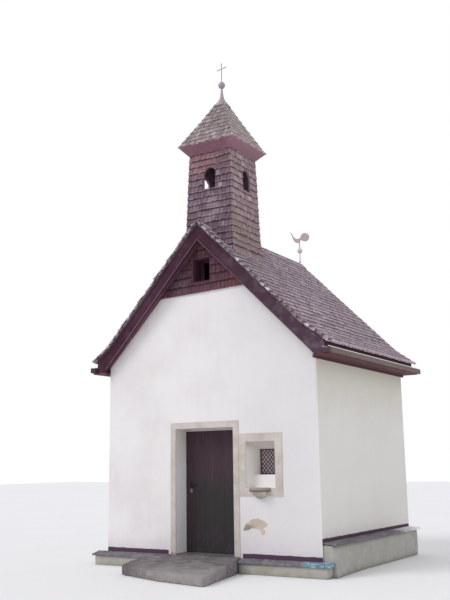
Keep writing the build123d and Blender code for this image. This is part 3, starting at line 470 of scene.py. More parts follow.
def shingle_shapes(length, thickness, rng, kind="shingle"):
    """A few riven shingles, a metre wide, to be scaled to their widths: split, skewed and worn."""
    shelf = bpy.data.collections.new(f"{kind}_shapes")
    bpy.context.scene.collection.children.link(shelf)
    columns = (-SHAPE_HALF, -0.17, 0.16, SHAPE_HALF)
    for number in range(SHAPE_COUNT):
        shape = bmesh.new()
        grain = shape.loops.layers.uv.new("grain")
        skew = rng.uniform(-0.007, 0.007)
        top, low = [], []
        for share in (0.0, 0.4, 1.0):
            rise = [rng.uniform(-0.0012, 0.0016) for _ in columns]
            for i, x in enumerate(columns):
                ragged = rng.uniform(-0.004, 0.004) + skew * x * 2 if share == 0 else 0.0
                if share == 0 and number in (2, 5) and i == number // 2:
                    ragged += 0.020
                z = rise[i] * (1 - share)
                thick = thickness * (1 - 0.6 * share)
                top.append(shape.verts.new((x, share * length + ragged, z)))
                low.append(shape.verts.new((x, share * length + ragged, z - thick)))
        rings = []
        for row in (0, 4):
            for a in range(row, row + 3):
                rings.append((top[a], top[a + 1], top[a + 5], top[a + 4]))
                rings.append((low[a], low[a + 4], low[a + 5], low[a + 1]))
            rings.append((top[row], top[row + 4], low[row + 4], low[row]))
            rings.append((low[row + 3], low[row + 7], top[row + 7], top[row + 3]))
        for i in range(3):
            rings.append((top[i], low[i], low[i + 1], top[i + 1]))
            rings.append((top[i + 8], top[i + 9], low[i + 9], low[i + 8]))
        for ring in rings:
            face = shape.faces.new(ring)
            edge = abs(sum(v.co.x for v in ring) / 4) > SHAPE_HALF - 0.002
            # the butt faces of verge shingles are marked in the grain map to take painted shade
            sawn = kind == "verge" and max(v.co.y for v in ring) < 0.03
            for loop in face.loops:
                loop[grain].uv = (loop.vert.co.x * (0.05 if edge else 0.1), -0.1 if sawn else loop.vert.co.y)
        mesh = solid(shape, f"{kind}_{number}")
        shelf.objects.link(bpy.data.objects.new(mesh.name, mesh))
    return shelf


def clear_shelves(*shelves):
    """Removes the loose shapes once they have been laid."""
    for shelf in shelves:
        for thing in list(shelf.objects):
            bpy.data.objects.remove(thing)
        bpy.data.collections.remove(shelf)


def shingle_nodes():
    """Geometry Nodes that lay a shingle on every point of a layout, with its own lift, turn and tint."""
    tree = bpy.data.node_groups.new("lay_shingles", "GeometryNodeTree")
    tree.is_modifier = True
    tree.interface.new_socket("Geometry", in_out="INPUT", socket_type="NodeSocketGeometry")
    for name, kind in (
        ("Shapes", "NodeSocketCollection"),
        ("Lean", "NodeSocketFloat"),
        ("Scatter", "NodeSocketFloat"),
        ("Unevenness", "NodeSocketFloat"),
        ("Seed", "NodeSocketInt"),
        ("Finish", "NodeSocketMaterial"),
    ):
        tree.interface.new_socket(name, in_out="INPUT", socket_type=kind)
    tree.interface.new_socket("Geometry", in_out="OUTPUT", socket_type="NodeSocketGeometry")
    given = add(tree, "NodeGroupInput").outputs

    def drawn(kind, low, high):
        """A value of each shingle's own between two limits."""
        slot = ("FLOAT_VECTOR", "FLOAT", "INT").index(kind)
        return add(
            tree, "FunctionNodeRandomValue", {2 * slot: low, 2 * slot + 1: high, "Seed": given["Seed"]},
            data_type=kind).outputs[slot]

    def scaled(value, share):
        """A drawn vector times one of the given numbers."""
        made = add(tree, "ShaderNodeVectorMath", {0: value, "Scale": given[share]}, operation="SCALE")
        return made.outputs[0]

    offset = scaled(drawn("FLOAT_VECTOR", (-0.2, -1.0, -0.12), (0.2, 1.0, 0.12)), "Scatter")
    moved = add(tree, "GeometryNodeSetPosition", {"Geometry": given["Geometry"], "Offset": offset})
    loose = scaled(drawn("FLOAT_VECTOR", (-1.0, -1.0, -0.8), (1.0, 1.0, 0.8)), "Unevenness")
    leaned = add(tree, "ShaderNodeCombineXYZ", {"X": given["Lean"]})
    turned = add(tree, "ShaderNodeVectorMath", {0: loose, 1: leaned.outputs[0]}, operation="SUBTRACT")
    rotation = add(tree, "FunctionNodeEulerToRotation", {0: turned.outputs[0]})
    width = add(tree, "GeometryNodeInputNamedAttribute", {"Name": "width"}, data_type="FLOAT")
    scale = add(
        tree, "ShaderNodeCombineXYZ",
        {"X": width.outputs["Attribute"], "Y": 1.0, "Z": drawn("FLOAT", 0.8, 1.25)})
    shapes = add(
        tree, "GeometryNodeCollectionInfo",
        {"Collection": given["Shapes"], "Separate Children": True, "Reset Children": True})
    laid = add(
        tree, "GeometryNodeInstanceOnPoints",
        {"Points": moved.outputs[0], "Instance": shapes.outputs[0], "Pick Instance": True,
         "Instance Index": drawn("INT", 0, SHAPE_COUNT - 1), "Rotation": rotation.outputs[0],
         "Scale": scale.outputs[0]})
    tinted = add(
        tree, "GeometryNodeStoreNamedAttribute",
        {"Geometry": laid.outputs[0], "Name": "tint", "Value": drawn("FLOAT", 0.0, 1.0)},
        data_type="FLOAT", domain="INSTANCE")
    real = add(tree, "GeometryNodeRealizeInstances", {"Geometry": tinted.outputs[0]})
    painted = {"Geometry": real.outputs[0], "Material": given["Finish"]}
    add(tree, "NodeGroupOutput", {0: add(tree, "GeometryNodeSetMaterial", painted).outputs[0]})
    return tree


def baked(thing, keep_layers=True):
    """The mesh of an object with its modifiers worked in. The object goes."""
    depsgraph = bpy.context.evaluated_depsgraph_get()
    mesh = bpy.data.meshes.new_from_object(
        thing.evaluated_get(depsgraph), preserve_all_data_layers=keep_layers, depsgraph=depsgraph)
    bpy.data.objects.remove(thing)
    return mesh


def lay_shingles(points, slope, shapes, lean, finish, seed, unevenness=0.012, scatter=0.006):
    """Lays shingles on the points of a flat layout and spreads them over a face. Gives a plain mesh."""
    layout = bpy.data.meshes.new("layout")
    layout.from_pydata([p[:3] for p in points], [], [])
    width = layout.attributes.new("width", "FLOAT", "POINT")
    width.data.foreach_set("value", [p[3] for p in points])
    bench = put("bench", layout)
    tree = bpy.data.node_groups.get("lay_shingles") or shingle_nodes()
    modifier = bench.modifiers.new("shingles", "NODES")
    modifier.node_group = tree
    given = {
        "Shapes": shapes, "Lean": lean, "Scatter": scatter, "Unevenness": unevenness, "Seed": seed,
        "Finish": finish,
    }
    for socket in tree.interface.items_tree:
        if socket.name in given:
            modifier[socket.identifier] = given[socket.name]
    mesh = baked(bench)
    if not len(mesh.polygons):
        raise RuntimeError("no shingles were laid")
    mesh.materials.clear()
    mesh.materials.append(finish)
    mesh.polygons.foreach_set("material_index", [0] * len(mesh.polygons))
    slope.spread(mesh)
    return mesh


def trim(mesh, *cuts):
    """Saws a mesh along planes, each given as a point and the way to the waste, and closes the cut ends."""
    work = bmesh.new()
    work.from_mesh(mesh)
    for point, waste in cuts:
        everything = work.verts[:] + work.edges[:] + work.faces[:]
        cut = bmesh.ops.bisect_plane(
            work, geom=everything, dist=1e-5, plane_co=point, plane_no=waste, clear_outer=True)
        rims = [e for e in cut["geom_cut"] if isinstance(e, bmesh.types.BMEdge)]
        bmesh.ops.holes_fill(work, edges=rims, sides=0)
    work.to_mesh(mesh)
    work.free()


def solid(work, name, finish=None):
    """The mesh of a finished shape, its faces turned outwards."""
    bmesh.ops.recalc_face_normals(work, faces=work.faces)
    mesh = bpy.data.meshes.new(name)
    work.to_mesh(mesh)
    work.free()
    if finish:
        mesh.materials.append(finish)
    return mesh


def between_rings(name, first, second, finish=None):
    """A closed shape from one ring of points to another."""
    work = bmesh.new()
    ends = []
    for ring in (first, second):
        ends.append([work.verts.new(p) for p in ring])
        work.faces.new(ends[-1])
    for i in range(len(first)):
        j = (i + 1) % len(first)
        work.faces.new((ends[0][i], ends[0][j], ends[1][j], ends[1][i]))
    return solid(work, name, finish)


def prism(outline, start, stop, axis, finish=None):
    """A closed prism: the outline is across and up, and it runs along the axis given, 0 for x, 1 for y and
    2 for z, where up is y."""
    rings = [
        [((depth, across, up), (across, depth, up), (across, up, depth))[axis] for across, up in outline]
        for depth in (start, stop)]
    return between_rings("prism", *rings, finish)


def bar(start, end, side, up, finish):
    """A square-edged batten between two points, its section given as two vectors at right angles to it."""
    rings = [[point, point + side, point + side + up, point + up] for point in (start, end)]
    return between_rings("batten", *rings, finish)


def cut_out(mesh, cutter, finish):
    """Takes a closed shape out of a mesh. The cut faces get a finish of their own."""
    cutter.materials.append(finish)
    piece = put("to_cut", mesh)
    tool = put("cutter", cutter)
    boolean = piece.modifiers.new("cut", "BOOLEAN")
    boolean.operation = "DIFFERENCE"
    boolean.solver = "EXACT"
    boolean.use_self = True
    boolean.object = tool
    cut = baked(piece)
    bpy.data.objects.remove(tool)
    return cut


def join(*meshes):
    """Joins meshes, each with one material."""
    work = bmesh.new()
    finishes = []
    for mesh in meshes:
        finish = mesh.materials[0]
        if finish not in finishes:
            finishes.append(finish)
        before = len(work.faces)
        work.from_mesh(mesh)
        work.faces.ensure_lookup_table()
        for face in work.faces[before:]:
            face.material_index = finishes.index(finish)
    joined = meshes[0].copy()
    joined.materials.clear()
    for finish in finishes:
        joined.materials.append(finish)
    work.to_mesh(joined)
    work.free()
    return joined


def ball(radius, z, start, count):
    """The profile of a ball, in steps of a sixteenth of the way over it."""
    turns = [pi * (i + start) / 16 for i in range(count)]
    return [(radius * sin(a), z - radius * cos(a)) for a in turns]


def lathe(profile, middle, finish, segments=32):
    """A turned shape with closed poles, from a profile of radius and height."""
    work = bmesh.new()
    turns = [2 * pi * i / segments for i in range(segments)]
    rings = []
    for radius, z in profile:
        rings.append([
            work.verts.new((middle[0] + radius * cos(a), middle[1] + radius * sin(a), z))
            for a in (turns if radius else turns[:1])])
    for low, high in zip(rings, rings[1:]):
        for i in range(segments):
            j = (i + 1) % segments
            if len(low) == 1:
                work.faces.new((low[0], high[j], high[i]))
            elif len(high) == 1:
                work.faces.new((low[i], low[j], high[0]))
            else:
                work.faces.new((low[i], low[j], high[j], high[i]))
    for face in work.faces:
        face.smooth = True
    return solid(work, "turned", finish)


def weather(name, fineness, depth, size, flare=None):
    """A worn copy of a node: its faces cut fine, then pushed in by noise. A flare may spread its foot."""
    copy = put("to_weather", nodes[name].data.copy())
    remesh = copy.modifiers.new("fine", "REMESH")
    remesh.mode = "VOXEL"
    remesh.voxel_size = fineness
    mesh = baked(copy, keep_layers=False)
    mesh.materials.clear()
    moved = []
    for vert in mesh.vertices:
        wear = depth * (noise.noise(vert.co / size) + 0.5 * noise.noise(vert.co * 3 / size) + 0.6)
        spot = vert.co - vert.normal * max(wear, 0.0)
        if flare:
            spot.x += flare(vert.co)
        moved.append((spot.x, spot.y, max(spot.z, 0.0)))
    mesh.vertices.foreach_set("co", np.array(moved).ravel())
    for face in mesh.polygons:
        face.use_smooth = True
    mesh.update()
    return mesh


def plinth_flare(point):
    """How far the foot of the right plinth leans out near the front corner."""
    if point.x < WALL_HALF or point.z > FLARE_TOP_Z:
        return 0.0
    near = min(max((FLARE_REAR_Y - point.y) / FLARE_RUN, 0.0), 1.0)
    out = min((point.x - WALL_HALF) / PLINTH_DEPTH, 1.0)
    return FLARE_REACH * near * near * out * (1 - point.z / FLARE_TOP_Z)


def verge_y(x):
    """Front edge of the roof at a distance from the ridge."""
    return VERGE_RIDGE_Y + VERGE_DRAW_IN * abs(x) / ROOF_RUN


def sprocket(side, face_y, lean, finish):
    """A tapered board on the foot of a barge board, which carries the kick of the eave."""
    top_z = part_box("barge_front_right")[1].z
    start_x, end_x = KICK_START_X - 0.05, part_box("barge_front_right")[1].x
    kick = KICK_RISE * (end_x - KICK_START_X) / (ROOF_RUN - KICK_START_X) + 0.018
    outline = [
        (x, top_z - ROOF_SLOPE * x + lift)
        for x, lift in ((start_x, -0.012), (end_x, -0.012), (end_x, kick), (KICK_START_X - 0.02, 0.0))]
    rings = [
        [(side * x, face_y + lean * x / ROOF_RUN + thick, z) for x, z in outline] for thick in (0.0, 0.032)]
    return between_rings("sprocket", *rings, finish)


def roof_slope(side):
    """The main roof's outer face on one side, with its kick at the eave."""
    kick_z = ROOF_TOP_Z - KICK_START_X * ROOF_SLOPE
    eave_z = ROOF_TOP_Z - ROOF_RUN * ROOF_SLOPE + KICK_RISE
    return Slope([(ROOF_RUN, eave_z), (KICK_START_X, kick_z), (0.0, ROOF_TOP_Z)], (side, 0, 0))


class CHAPEL_OT_roof_shingles(bpy.types.Operator):
    """Lay both slopes of the main roof and its ridge"""
    bl_idname = "chapel.roof_shingles"
    bl_label = "Roof shingles"

    def execute(self, context):
        sizes = context.scene.chapel_shingles
        colours = context.scene.chapel_colours
        rng = random.Random(sizes.seed)
        finish = shingle_finish(
            "weathered_larch_roof", colours.roof_dark, colours.roof_light, "#E0D0DA", "#8A7C74", 0.9, 0.3,
            0.131, newer=0.97, worn=0.75, gloom_reach=0.060, spots=(
                ((0.55, -1.75, 5.0), 0.75, "#6B5D5A", 0.6),
                ((1.25, -1.75, 4.4), 0.6, "#766872", 0.5)))
        shapes = shingle_shapes(0.46, sizes.thickness * 1.3, rng)
        starters = shingle_shapes(0.20, sizes.thickness, rng, "starter")
        verges = shingle_shapes(0.17, 0.032, rng, "verge")
        chips = shingle_finish(
            "weathered_larch_verge", "#7E6A76", "#D2C0CA", "#E6D8E0", "#8A7A76", 0.4, 0.3, 0.131, worn=0.4,
            gloom_reach=0.060)
        for side, name in SIDES:
            slope = roof_slope(side)
            past_ridge = ((side * 0.012, 0, 0), (-side, 0, 0))
            exposure = slope.length / sizes.roof_courses
            points, doubling = [], []
            for row in range(-2, sizes.roof_courses):
                climb = max(row, 0) * exposure
                sink = 0.014 * max(-row, 0)
                front = verge_y(slope.at(climb).x) + rng.uniform(0, 0.012)
                rear = VERGE_REAR_Y - rng.uniform(0, 0.012)
                start, stop = (front, rear) if side > 0 else (-rear, -front)
                for middle, width in course(rng, start, stop, sizes):
                    (points if row >= 0 else doubling).append(
                        (middle, climb + rng.uniform(-0.004, 0.004), -0.002 - sink, width))
            mesh = join(
                lay_shingles(points, slope, shapes, 0.092, finish, sizes.seed + side + 1),
                lay_shingles(doubling, slope, starters, 0.02, finish, sizes.seed + side + 3))
            trim(mesh, past_ridge)
            place_piece(f"roof_shingles_{name}_laid", mesh, "roof_shingle", f"roof_shingles_{name}")
            # a short thick shingle closes each course at the front verge
            ends = []
            for row in range(sizes.roof_courses):
                climb = row * exposure
                edge = verge_y(slope.at(climb).x) - 0.006 - rng.uniform(0, 0.014)
                width = rng.uniform(0.095, 0.130)
                up = climb + rng.uniform(-0.016, 0.006)
                ends.append((side * (edge + width / 2), up, 0.010 + rng.uniform(0, 0.014), width))
            edging = lay_shingles(ends, slope, verges, 0.14, chips, sizes.seed + side + 5, 0.03)
            trim(edging, past_ridge)
            place_piece(f"verge_shingles_{name}", edging, "roof_shingle")
        # the ridge: a short course on each side, the right one standing over the left one
        caps = []
        for side, over, past in ((-1, 0.006, 0.004), (1, 0.012, -0.016)):
            slope = roof_slope(side)
            points = []
            in_front = (verge_y(0), TURRET_Y - TURRET_GAP)
            behind = (TURRET_Y + TURRET_GAP, VERGE_REAR_Y - 0.03)
            for start, stop in (in_front, behind):
                run = (start, stop) if side > 0 else (-stop, -start)
                for middle, width in course(rng, *run, sizes):
                    points.append((middle, slope.length - RIDGE_COURSE, over, width))
            caps.append(lay_shingles(points, slope, shapes, 0.05, finish, sizes.seed + 9 + side))
            trim(caps[-1], ((past, 0, 0), (-side, 0, 0)))
        place_piece("ridge_shingles", join(*caps), "roof_shingle", "ridge_cap")
        clear_shelves(shapes, starters, verges)
        return {"FINISHED"}


class CHAPEL_OT_turret_shingles(bpy.types.Operator):
    """Clad the four turret walls with shingles over their boards"""
    bl_idname = "chapel.turret_shingles"
    bl_label = "Turret shingles"

    def execute(self, context):
        sizes = context.scene.chapel_shingles
        colours = context.scene.chapel_colours
        rng = random.Random(sizes.seed + 20)
        shown = (TURRET_HIGH.z - TURRET_LOW.z) / sizes.turret_courses
        pale = (((0.05, -1.68, 6.16), 0.20), ((0.14, -1.68, 6.0), 0.22), ((0.02, -1.69, 5.88), 0.20))
        # painted light and shade: the turret's sunny right face gets a lighter, pinker finish, and the other
        # faces a darker one
        shaded = shingle_finish(
            "weathered_larch_turret_front", shade(colours.turret_front, 0.55), colours.turret_front,
            "#B4A2AE", "#7C6C68", 0.5, 0.2, shown, zones=[(6.78, 6.95, "#A97C7E", 0.8)],
            spots=[((0.27, -1.66, 6.85), 0.34, "#6C4E60", 0.7), *((*spot, "#C4B4C0", 0.6) for spot in pale)])
        sunny = shingle_finish(
            "weathered_larch_turret_side", shade(colours.turret_side, 0.60), colours.turret_side, "#D0BEC6",
            "#8F8268", 0.5, 0.25, shown, zones=[(6.25, 5.6, "#9A857A", 0.6)])
        inner = timber("sawn_turret_boards", "#A08292", "#7A5E6C", "#B79AA8", (1, 1, 14)).done()
        levels = [
            (TURRET_FOOT_HALF, TURRET_LOW.z), (TURRET_BEND_HALF, TURRET_BEND_Z),
            (TURRET_TOP_HALF, TURRET_HIGH.z)]
        shapes = shingle_shapes(0.26, sizes.thickness, rng)
        turns = [pi * i / 16 for i in range(17)]
        arch = [(ARCH_HALF, ARCH_SILL_Z)]
        arch += [(ARCH_HALF * cos(a), ARCH_SPRING_Z + ARCH_HALF * sin(a)) for a in turns]
        arch.append((-ARCH_HALF, ARCH_SILL_Z))
        over_top = ((0, 0, TURRET_HIGH.z), (0, 0, 1))
        in_roof = {side: ((0, 0, ROOF_TOP_Z - 0.03), (-side * ROOF_SLOPE, 0, -1)) for side in (1, -1)}
        for name, outward, finish, setback in (
            ("front", (0, -1, 0), shaded, 0.0),
            ("rear", (0, 1, 0), shaded, 0.0),
            ("left", (-1, 0, 0), shaded, SIDE_ARCH_SETBACK),
            ("right", (1, 0, 0), sunny, SIDE_ARCH_SETBACK),
        ):
            slope = Slope(levels, outward, TURRET_AXIS)
            gable_face = outward[0] == 0
            exposure = slope.length / sizes.turret_courses
            halves = {-1: [], 1: []}
            for row in range(sizes.turret_courses + 1):
                climb = row * exposure
                half, up = slope.at(climb)
                reach = half + 0.020
                sag = rng.uniform(-0.010, 0.010)
                for middle, width in course(rng, -reach, reach, sizes, 0.85):
                    if gable_face and up + exposure < ROOF_TOP_Z - (abs(middle) + width / 2) * ROOF_SLOPE:
                        continue
                    wave = sag * cos(pi * middle / (2 * reach)) + rng.uniform(-0.006, 0.006)
                    halves[1 if middle > 0 else -1].append((middle, climb + wave, 0.0, width))
            corners = [(TURRET_AXIS, slope.along * turn - slope.out) for turn in (1, -1)]
            faces = []
            for side, points in halves.items():
                mesh = lay_shingles(points, slope, shapes, 0.085, finish, sizes.seed + 31 + side, 0.022)
                roof_side = side * round(slope.along.x) if gable_face else outward[0]
                trim(mesh, in_roof[roof_side], *corners, over_top)
                faces.append(mesh)
            strakes = []
            for low, high in ((-0.02, slope.runs[0]), (slope.runs[0], 2.1)):
                outline = [(-0.6, low), (0.6, low), (0.6, high), (-0.6, high)]
                strakes.append(prism(outline, BOARD_BACK, BOARD_FACE, 2, inner))
                slope.spread(strakes[-1])
            plank = join(*strakes)
            trim(plank, *corners, over_top)
            if not gable_face:
                trim(plank, in_roof[outward[0]])
            outline = arch if gable_face else [(across + TURRET_Y + setback, up) for across, up in arch]
            axis, base = (1, TURRET_Y) if gable_face else (0, 0.0)
            low, high = (0.36, 0.60) if sum(outward) > 0 else (-0.60, -0.36)
            for kind, coat, replaced in (
                ("cladding", join(*faces), [f"turret_wall_{name}"]),
                ("boards", plank, []),
            ):
                opened = cut_out(coat, prism(outline, low + base, high + base, axis), inner)
                place_piece(f"turret_{kind}_{name}", opened, "turret_shingle", *replaced)
        clear_shelves(shapes)
        return {"FINISHED"}


class CHAPEL_OT_turret_roof(bpy.types.Operator):
    """Shingle the turret roof, with its sides mitred along the hips"""
    bl_idname = "chapel.turret_roof"
    bl_label = "Turret roof"

    def execute(self, context):
        sizes = context.scene.chapel_shingles
        rng = random.Random(sizes.seed + 50)
        finish = shingle_finish(
            "weathered_larch_turret_roof", "#857678", "#BDAEAE", "#C8BABC", "#958A7C", 0.4, 0.35, 0.12)
        # painted light: the right side of the turret roof gets a lighter copy of the finish, for glare
        painted_glare = shingle_finish(
            "weathered_larch_turret_roof_side", "#A89894", "#D2C6C0", "#DACFCB", "#A89E8C", 0.4, 0.3, 0.12)
        low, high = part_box("turret_roof")
        section = [
            (high.x + 0.006, low.z), (SPIRE_WAIST_HALF, low.z + SPIRE_WAIST_RISE), (SPIRE_TOP_HALF, high.z)]
        shapes = shingle_shapes(0.25, sizes.thickness, rng)
        sides = []
        for outward in ((0, -1, 0), (1, 0, 0), (0, 1, 0), (-1, 0, 0)):
            slope = Slope(section, outward, TURRET_AXIS)
            exposure = slope.length / sizes.spire_courses
            points = []
            for row in range(-1, sizes.spire_courses):
                climb = max(row, 0) * exposure
                half = slope.at(climb).x
                sink = 0.013 * max(-row, 0)
                for middle, width in course(rng, -half, half, sizes):
                    points.append((middle, climb + rng.uniform(-0.003, 0.003), -0.002 - sink, width))
            coat = painted_glare if outward[0] > 0 else finish
            mesh = lay_shingles(points, slope, shapes, 0.12, coat, sizes.seed + 60 + len(sides), 0.014)
            hips = [(TURRET_AXIS, slope.along * turn - slope.out) for turn in (1, -1)]
            trim(mesh, *hips, ((0, 0, high.z + 0.012), (0, 0, 1)))
            sides.append(mesh)
        place_piece("turret_roof_shingles", join(*sides), "turret_roof_shingle", "turret_roof")
        clear_shelves(shapes)
        return {"FINISHED"}


class CHAPEL_OT_gable_shingles(bpy.types.Operator):
    """Hang the red-brown shingles in both gables"""
    bl_idname = "chapel.gable_shingles"
    bl_label = "Gable shingles"

    def execute(self, context):
        sizes = context.scene.chapel_shingles
        base = context.scene.chapel_colours.gable
        rng = random.Random(sizes.seed + 80)
        # the gable finish has a painted bluish highlight low on the left; its other spots are reddish and
        # light-brown patches
        finish = shingle_finish(
            "stained_larch_gable", shade(base, 0.62), base, "#9A7078", "#5A3C46", 0.35, 0.35, 0.15,
            newer=0.96, worn=0.15, zones=[(4.68, 4.58, "#8A504C", 0.5)], spots=(
                ((-0.50, FRONT_Y, 4.68), 0.34, "#8C7C92", 0.55),
                ((-0.02, FRONT_Y, 5.27), 0.24, "#94685E", 0.6),
                ((0.62, FRONT_Y, 4.66), 0.30, "#96605A", 0.5)))
        lining = planed("dark_hatch_edge", "#5A3440", "#3E232C", "#6E4650", (1, 1, 14))
        shapes = shingle_shapes(0.24, 0.014, rng)
        half = GABLE_HIGH.x
        rise = GABLE_HIGH.z - GABLE_LOW.z
        opening = [
            (HATCH_LOW.x, HATCH_LOW.z), (HATCH_HIGH.x, HATCH_LOW.z), (HATCH_HIGH.x, HATCH_HIGH.z),
            (HATCH_LOW.x, HATCH_HIGH.z)]
        for name, outward, out in (
            ("gable_shingles_front", (0, -1, 0), -GABLE_LOW.y),
            ("gable_shingles_rear", (0, 1, 0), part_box("gable_shingles_rear")[1].y),
        ):
            slope = Slope([(out, GABLE_LOW.z), (out, GABLE_HIGH.z)], outward)
            points = []
            for row in range(GABLE_COURSES):
                climb = row * rise / GABLE_COURSES
                reach = half * (1 - row / GABLE_COURSES)
                for middle, width in course(rng, -reach - 0.05, reach + 0.05, sizes, 0.85):
                    lean = GABLE_LEAN * middle * slope.along.x
                    points.append((middle, climb + lean + rng.uniform(-0.003, 0.003), -0.002, width))
            mesh = lay_shingles(points, slope, shapes, 0.06, finish, sizes.seed + 90, 0.012)
            rakes = [((0, 0, GABLE_HIGH.z), (side * rise / half, 0, 1)) for side in (1, -1)]
            # the lowest course is sawn to a straight line, which leans as the photographed one does
            trim(mesh, *rakes, ((0, 0, GABLE_LOW.z + 0.006), (GABLE_LEAN, 0, -1)))
            if outward[1] < 0:
                mesh = cut_out(mesh, prism(opening, FRONT_Y - 0.08, FRONT_Y + 0.05, 1), lining)
            place_piece(f"{name}_laid", mesh, "gable_shingle", name)
        clear_shelves(shapes)
        return {"FINISHED"}


class CHAPEL_OT_masonry(bpy.types.Operator):
    """Plaster the walls, render the surrounds and finish the plinths"""
    bl_idname = "chapel.masonry"
    bl_label = "Masonry"

    def execute(self, context):
        dress(
            limewash(), "front_wall_left", "front_wall_right", "front_gable_wall", "rear_wall", "left_wall",
            "right_wall")
        colours = context.scene.chapel_colours
        render = mineral("beige_render", colours.surround, "#BDB4A6", "#DAD3CC", 0.30, 0.012, 0.0010)
        render.lay("#B3B59E", 0.5, render.blotches(0.18, 0.55, 0.75))
        render.lay("#85584A", 0.8, x=(-0.4, -0.5), z=(0.285, 0.235, render.cloud(0.06), 0.03))
        dress(render.done(), "door_surround", "window_surround")
        plinth = mineral("rough_cream_plaster", "#B8B5AE", "#ABA79F", "#C6C3BC", 0.45, 0.02, 0.0030)
        damp = plinth.blotches(0.25, 0.5, 0.72)
        plinth.lay("#A3A58C", 0.5, damp, y=(0.2, -1.6))
        plinth.lay("#A39CA2", 0.6, damp, y=(0.4, 1.9))
        plinth.lay("#8D8674", 0.7, z=(0.16, 0.0, plinth.cloud(0.15), 0.1))
        coarse = plinth.done()
        for name, flare in (("plinth_front", None), ("plinth_sides", plinth_flare)):
            mesh = weather(name, 0.030, 0.004, 0.12, flare)
            place_piece(f"{name}_plaster", mesh, "plinth_plaster", name, finish=coarse)
        slab = mineral("weathered_cement_slab", "#7A767A", "#5E595E", "#989496", 0.22, 0.015, 0.0020)
        slab.lay("#A8A2A8", 0.5, slab.blotches(0.03, 0.5, 0.7, stretch=(1, 14, 1)))
        # the side ledge is bleached towards the rear
        slab.lay("#FAF8FA", 0.95, y=(0.9, 1.85, slab.cloud(0.3), 0.3))
        # a smear of blue paint at the right end of the front ledge
        smear = slab.mask(x=(1.84, 2.02, slab.cloud(0.2), 0.2), z=(0.232, 0.224))
        slab.lay("#64889A", 0.8, smear)
        slab.lay("#A6C2CE", 0.7, smear, slab.blotches(0.07, 0.45, 0.6))
        cement = slab.done()
        for name in ("ledge_front", "ledge_sides"):
            place_piece(f"{name}_worn", weather(name, 0.014, 0.002, 0.10), "ledge_slab", name, finish=cement)
        stone = mineral("rough_grey_stone", "#7C7678", "#5E585C", "#ACA6A6", 0.30, 0.02, 0.0040)
        stone.lay("#A9A3A8", 0.5, stone.blotches(0.06, 0.5, 0.7, stretch=(9, 1, 1), turn=(0, 0, 0.3)))
        stone.lay("#7C5C52", 0.6, stone.near((-0.72, -1.90, 0.24), 0.32, stone.cloud(0.1)))
        cloud = stone.cloud(0.3)
        stone.lay("#5E524E", 0.6, x=(0.2, -0.8, cloud, 0.3), z=(0.19, 0.15))
        stone.lay("#B0AAA6", 0.55, x=(-0.7, 0.2, cloud, 0.3), y=(-2.3, -3.1, cloud, 0.3))
        mesh = weather("landing", 0.030, 0.012, 0.22)
        place_piece("landing_worn", mesh, "landing_stone", "landing", finish=stone.done())
        floor = mineral("worn_stone_floor", "#736D69", "#57514D", "#8D8782", 0.4, 0.02, 0.0015)
        dress(floor.done(), "floor_slab")
        self.turn_bowl()
        self.break_plaster()
        return {"FINISHED"}

    def turn_bowl(self):
        """The holy-water bowl, turned smooth and darkened under its rim."""
        low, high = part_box("holy_water_bowl")
        top = high.z
        bowl = mineral("worn_limestone", "#CBC4B8", "#A89F94", "#DAD4C9", 0.12, 0.010, 0.0010)
        bowl.lay("#9A8880", 0.7, z=(top - 0.070, top - 0.060))
        bowl.lay("#6E5C54", 0.75, z=[(top - 0.030, top - 0.048), (top - 0.064, top - 0.062)])
        bowl.lay("#8A8A72", 0.6, z=(top - 0.12, top - 0.165))
        radius = (high.x - low.x) / 2
        rim, deep = top - 0.062, top - low.z
        profile = [(0, low.z + 0.03)] + [(0.106 * sin(a), top - (deep - 0.03) * cos(a)) for a in QUARTER[1:]]
        profile += [
            (0.110, top - 0.004), (radius - 0.012, top), (radius, top - 0.014), (radius, rim + 0.012),
            (radius - 0.012, rim), (0.130, rim - 0.004)]
        profile += [(0.128 * sin(a), rim - (rim - low.z) * cos(a)) for a in QUARTER[:0:-1]] + [(0, low.z)]
        turned = lathe(profile, ((low.x + high.x) / 2, high.y), bowl.done(), 48)
        trim(turned, ((0, high.y - 0.001, 0), (0, 1, 0)))
        place_piece("holy_water_bowl_turned", turned, "bowl_stone", "holy_water_bowl")

    def break_plaster(self):
        """Plaster broken away beside the door, down to the mortar."""
        mortar = Finish("broken_plaster", "#D9C8BC", 0.95, gloss=0.1)
        mortar.lay("#C9B5A6", 0.7, mortar.blotches(0.16, 0.45, 0.6))
        mortar.lay("#8A8478", 0.8, x=(0.92, 0.80), z=(0.74, 0.70))
        rng = random.Random(5)
        outline = [
            [u + (v - u) * share + rng.uniform(-0.008, 0.008) for u, v in zip(a, b)]
            for a, b in zip(BROKEN_PATCH, BROKEN_PATCH[1:] + BROKEN_PATCH[:1])
            for share in (0.0, 0.33, 0.66)]
        patch = prism(outline, FRONT_Y - 0.002, FRONT_Y + 0.01, 1, mortar.done(mortar.cloud(0.02), 0.003))
        place_piece("broken_plaster_patch", patch, "white_plaster")


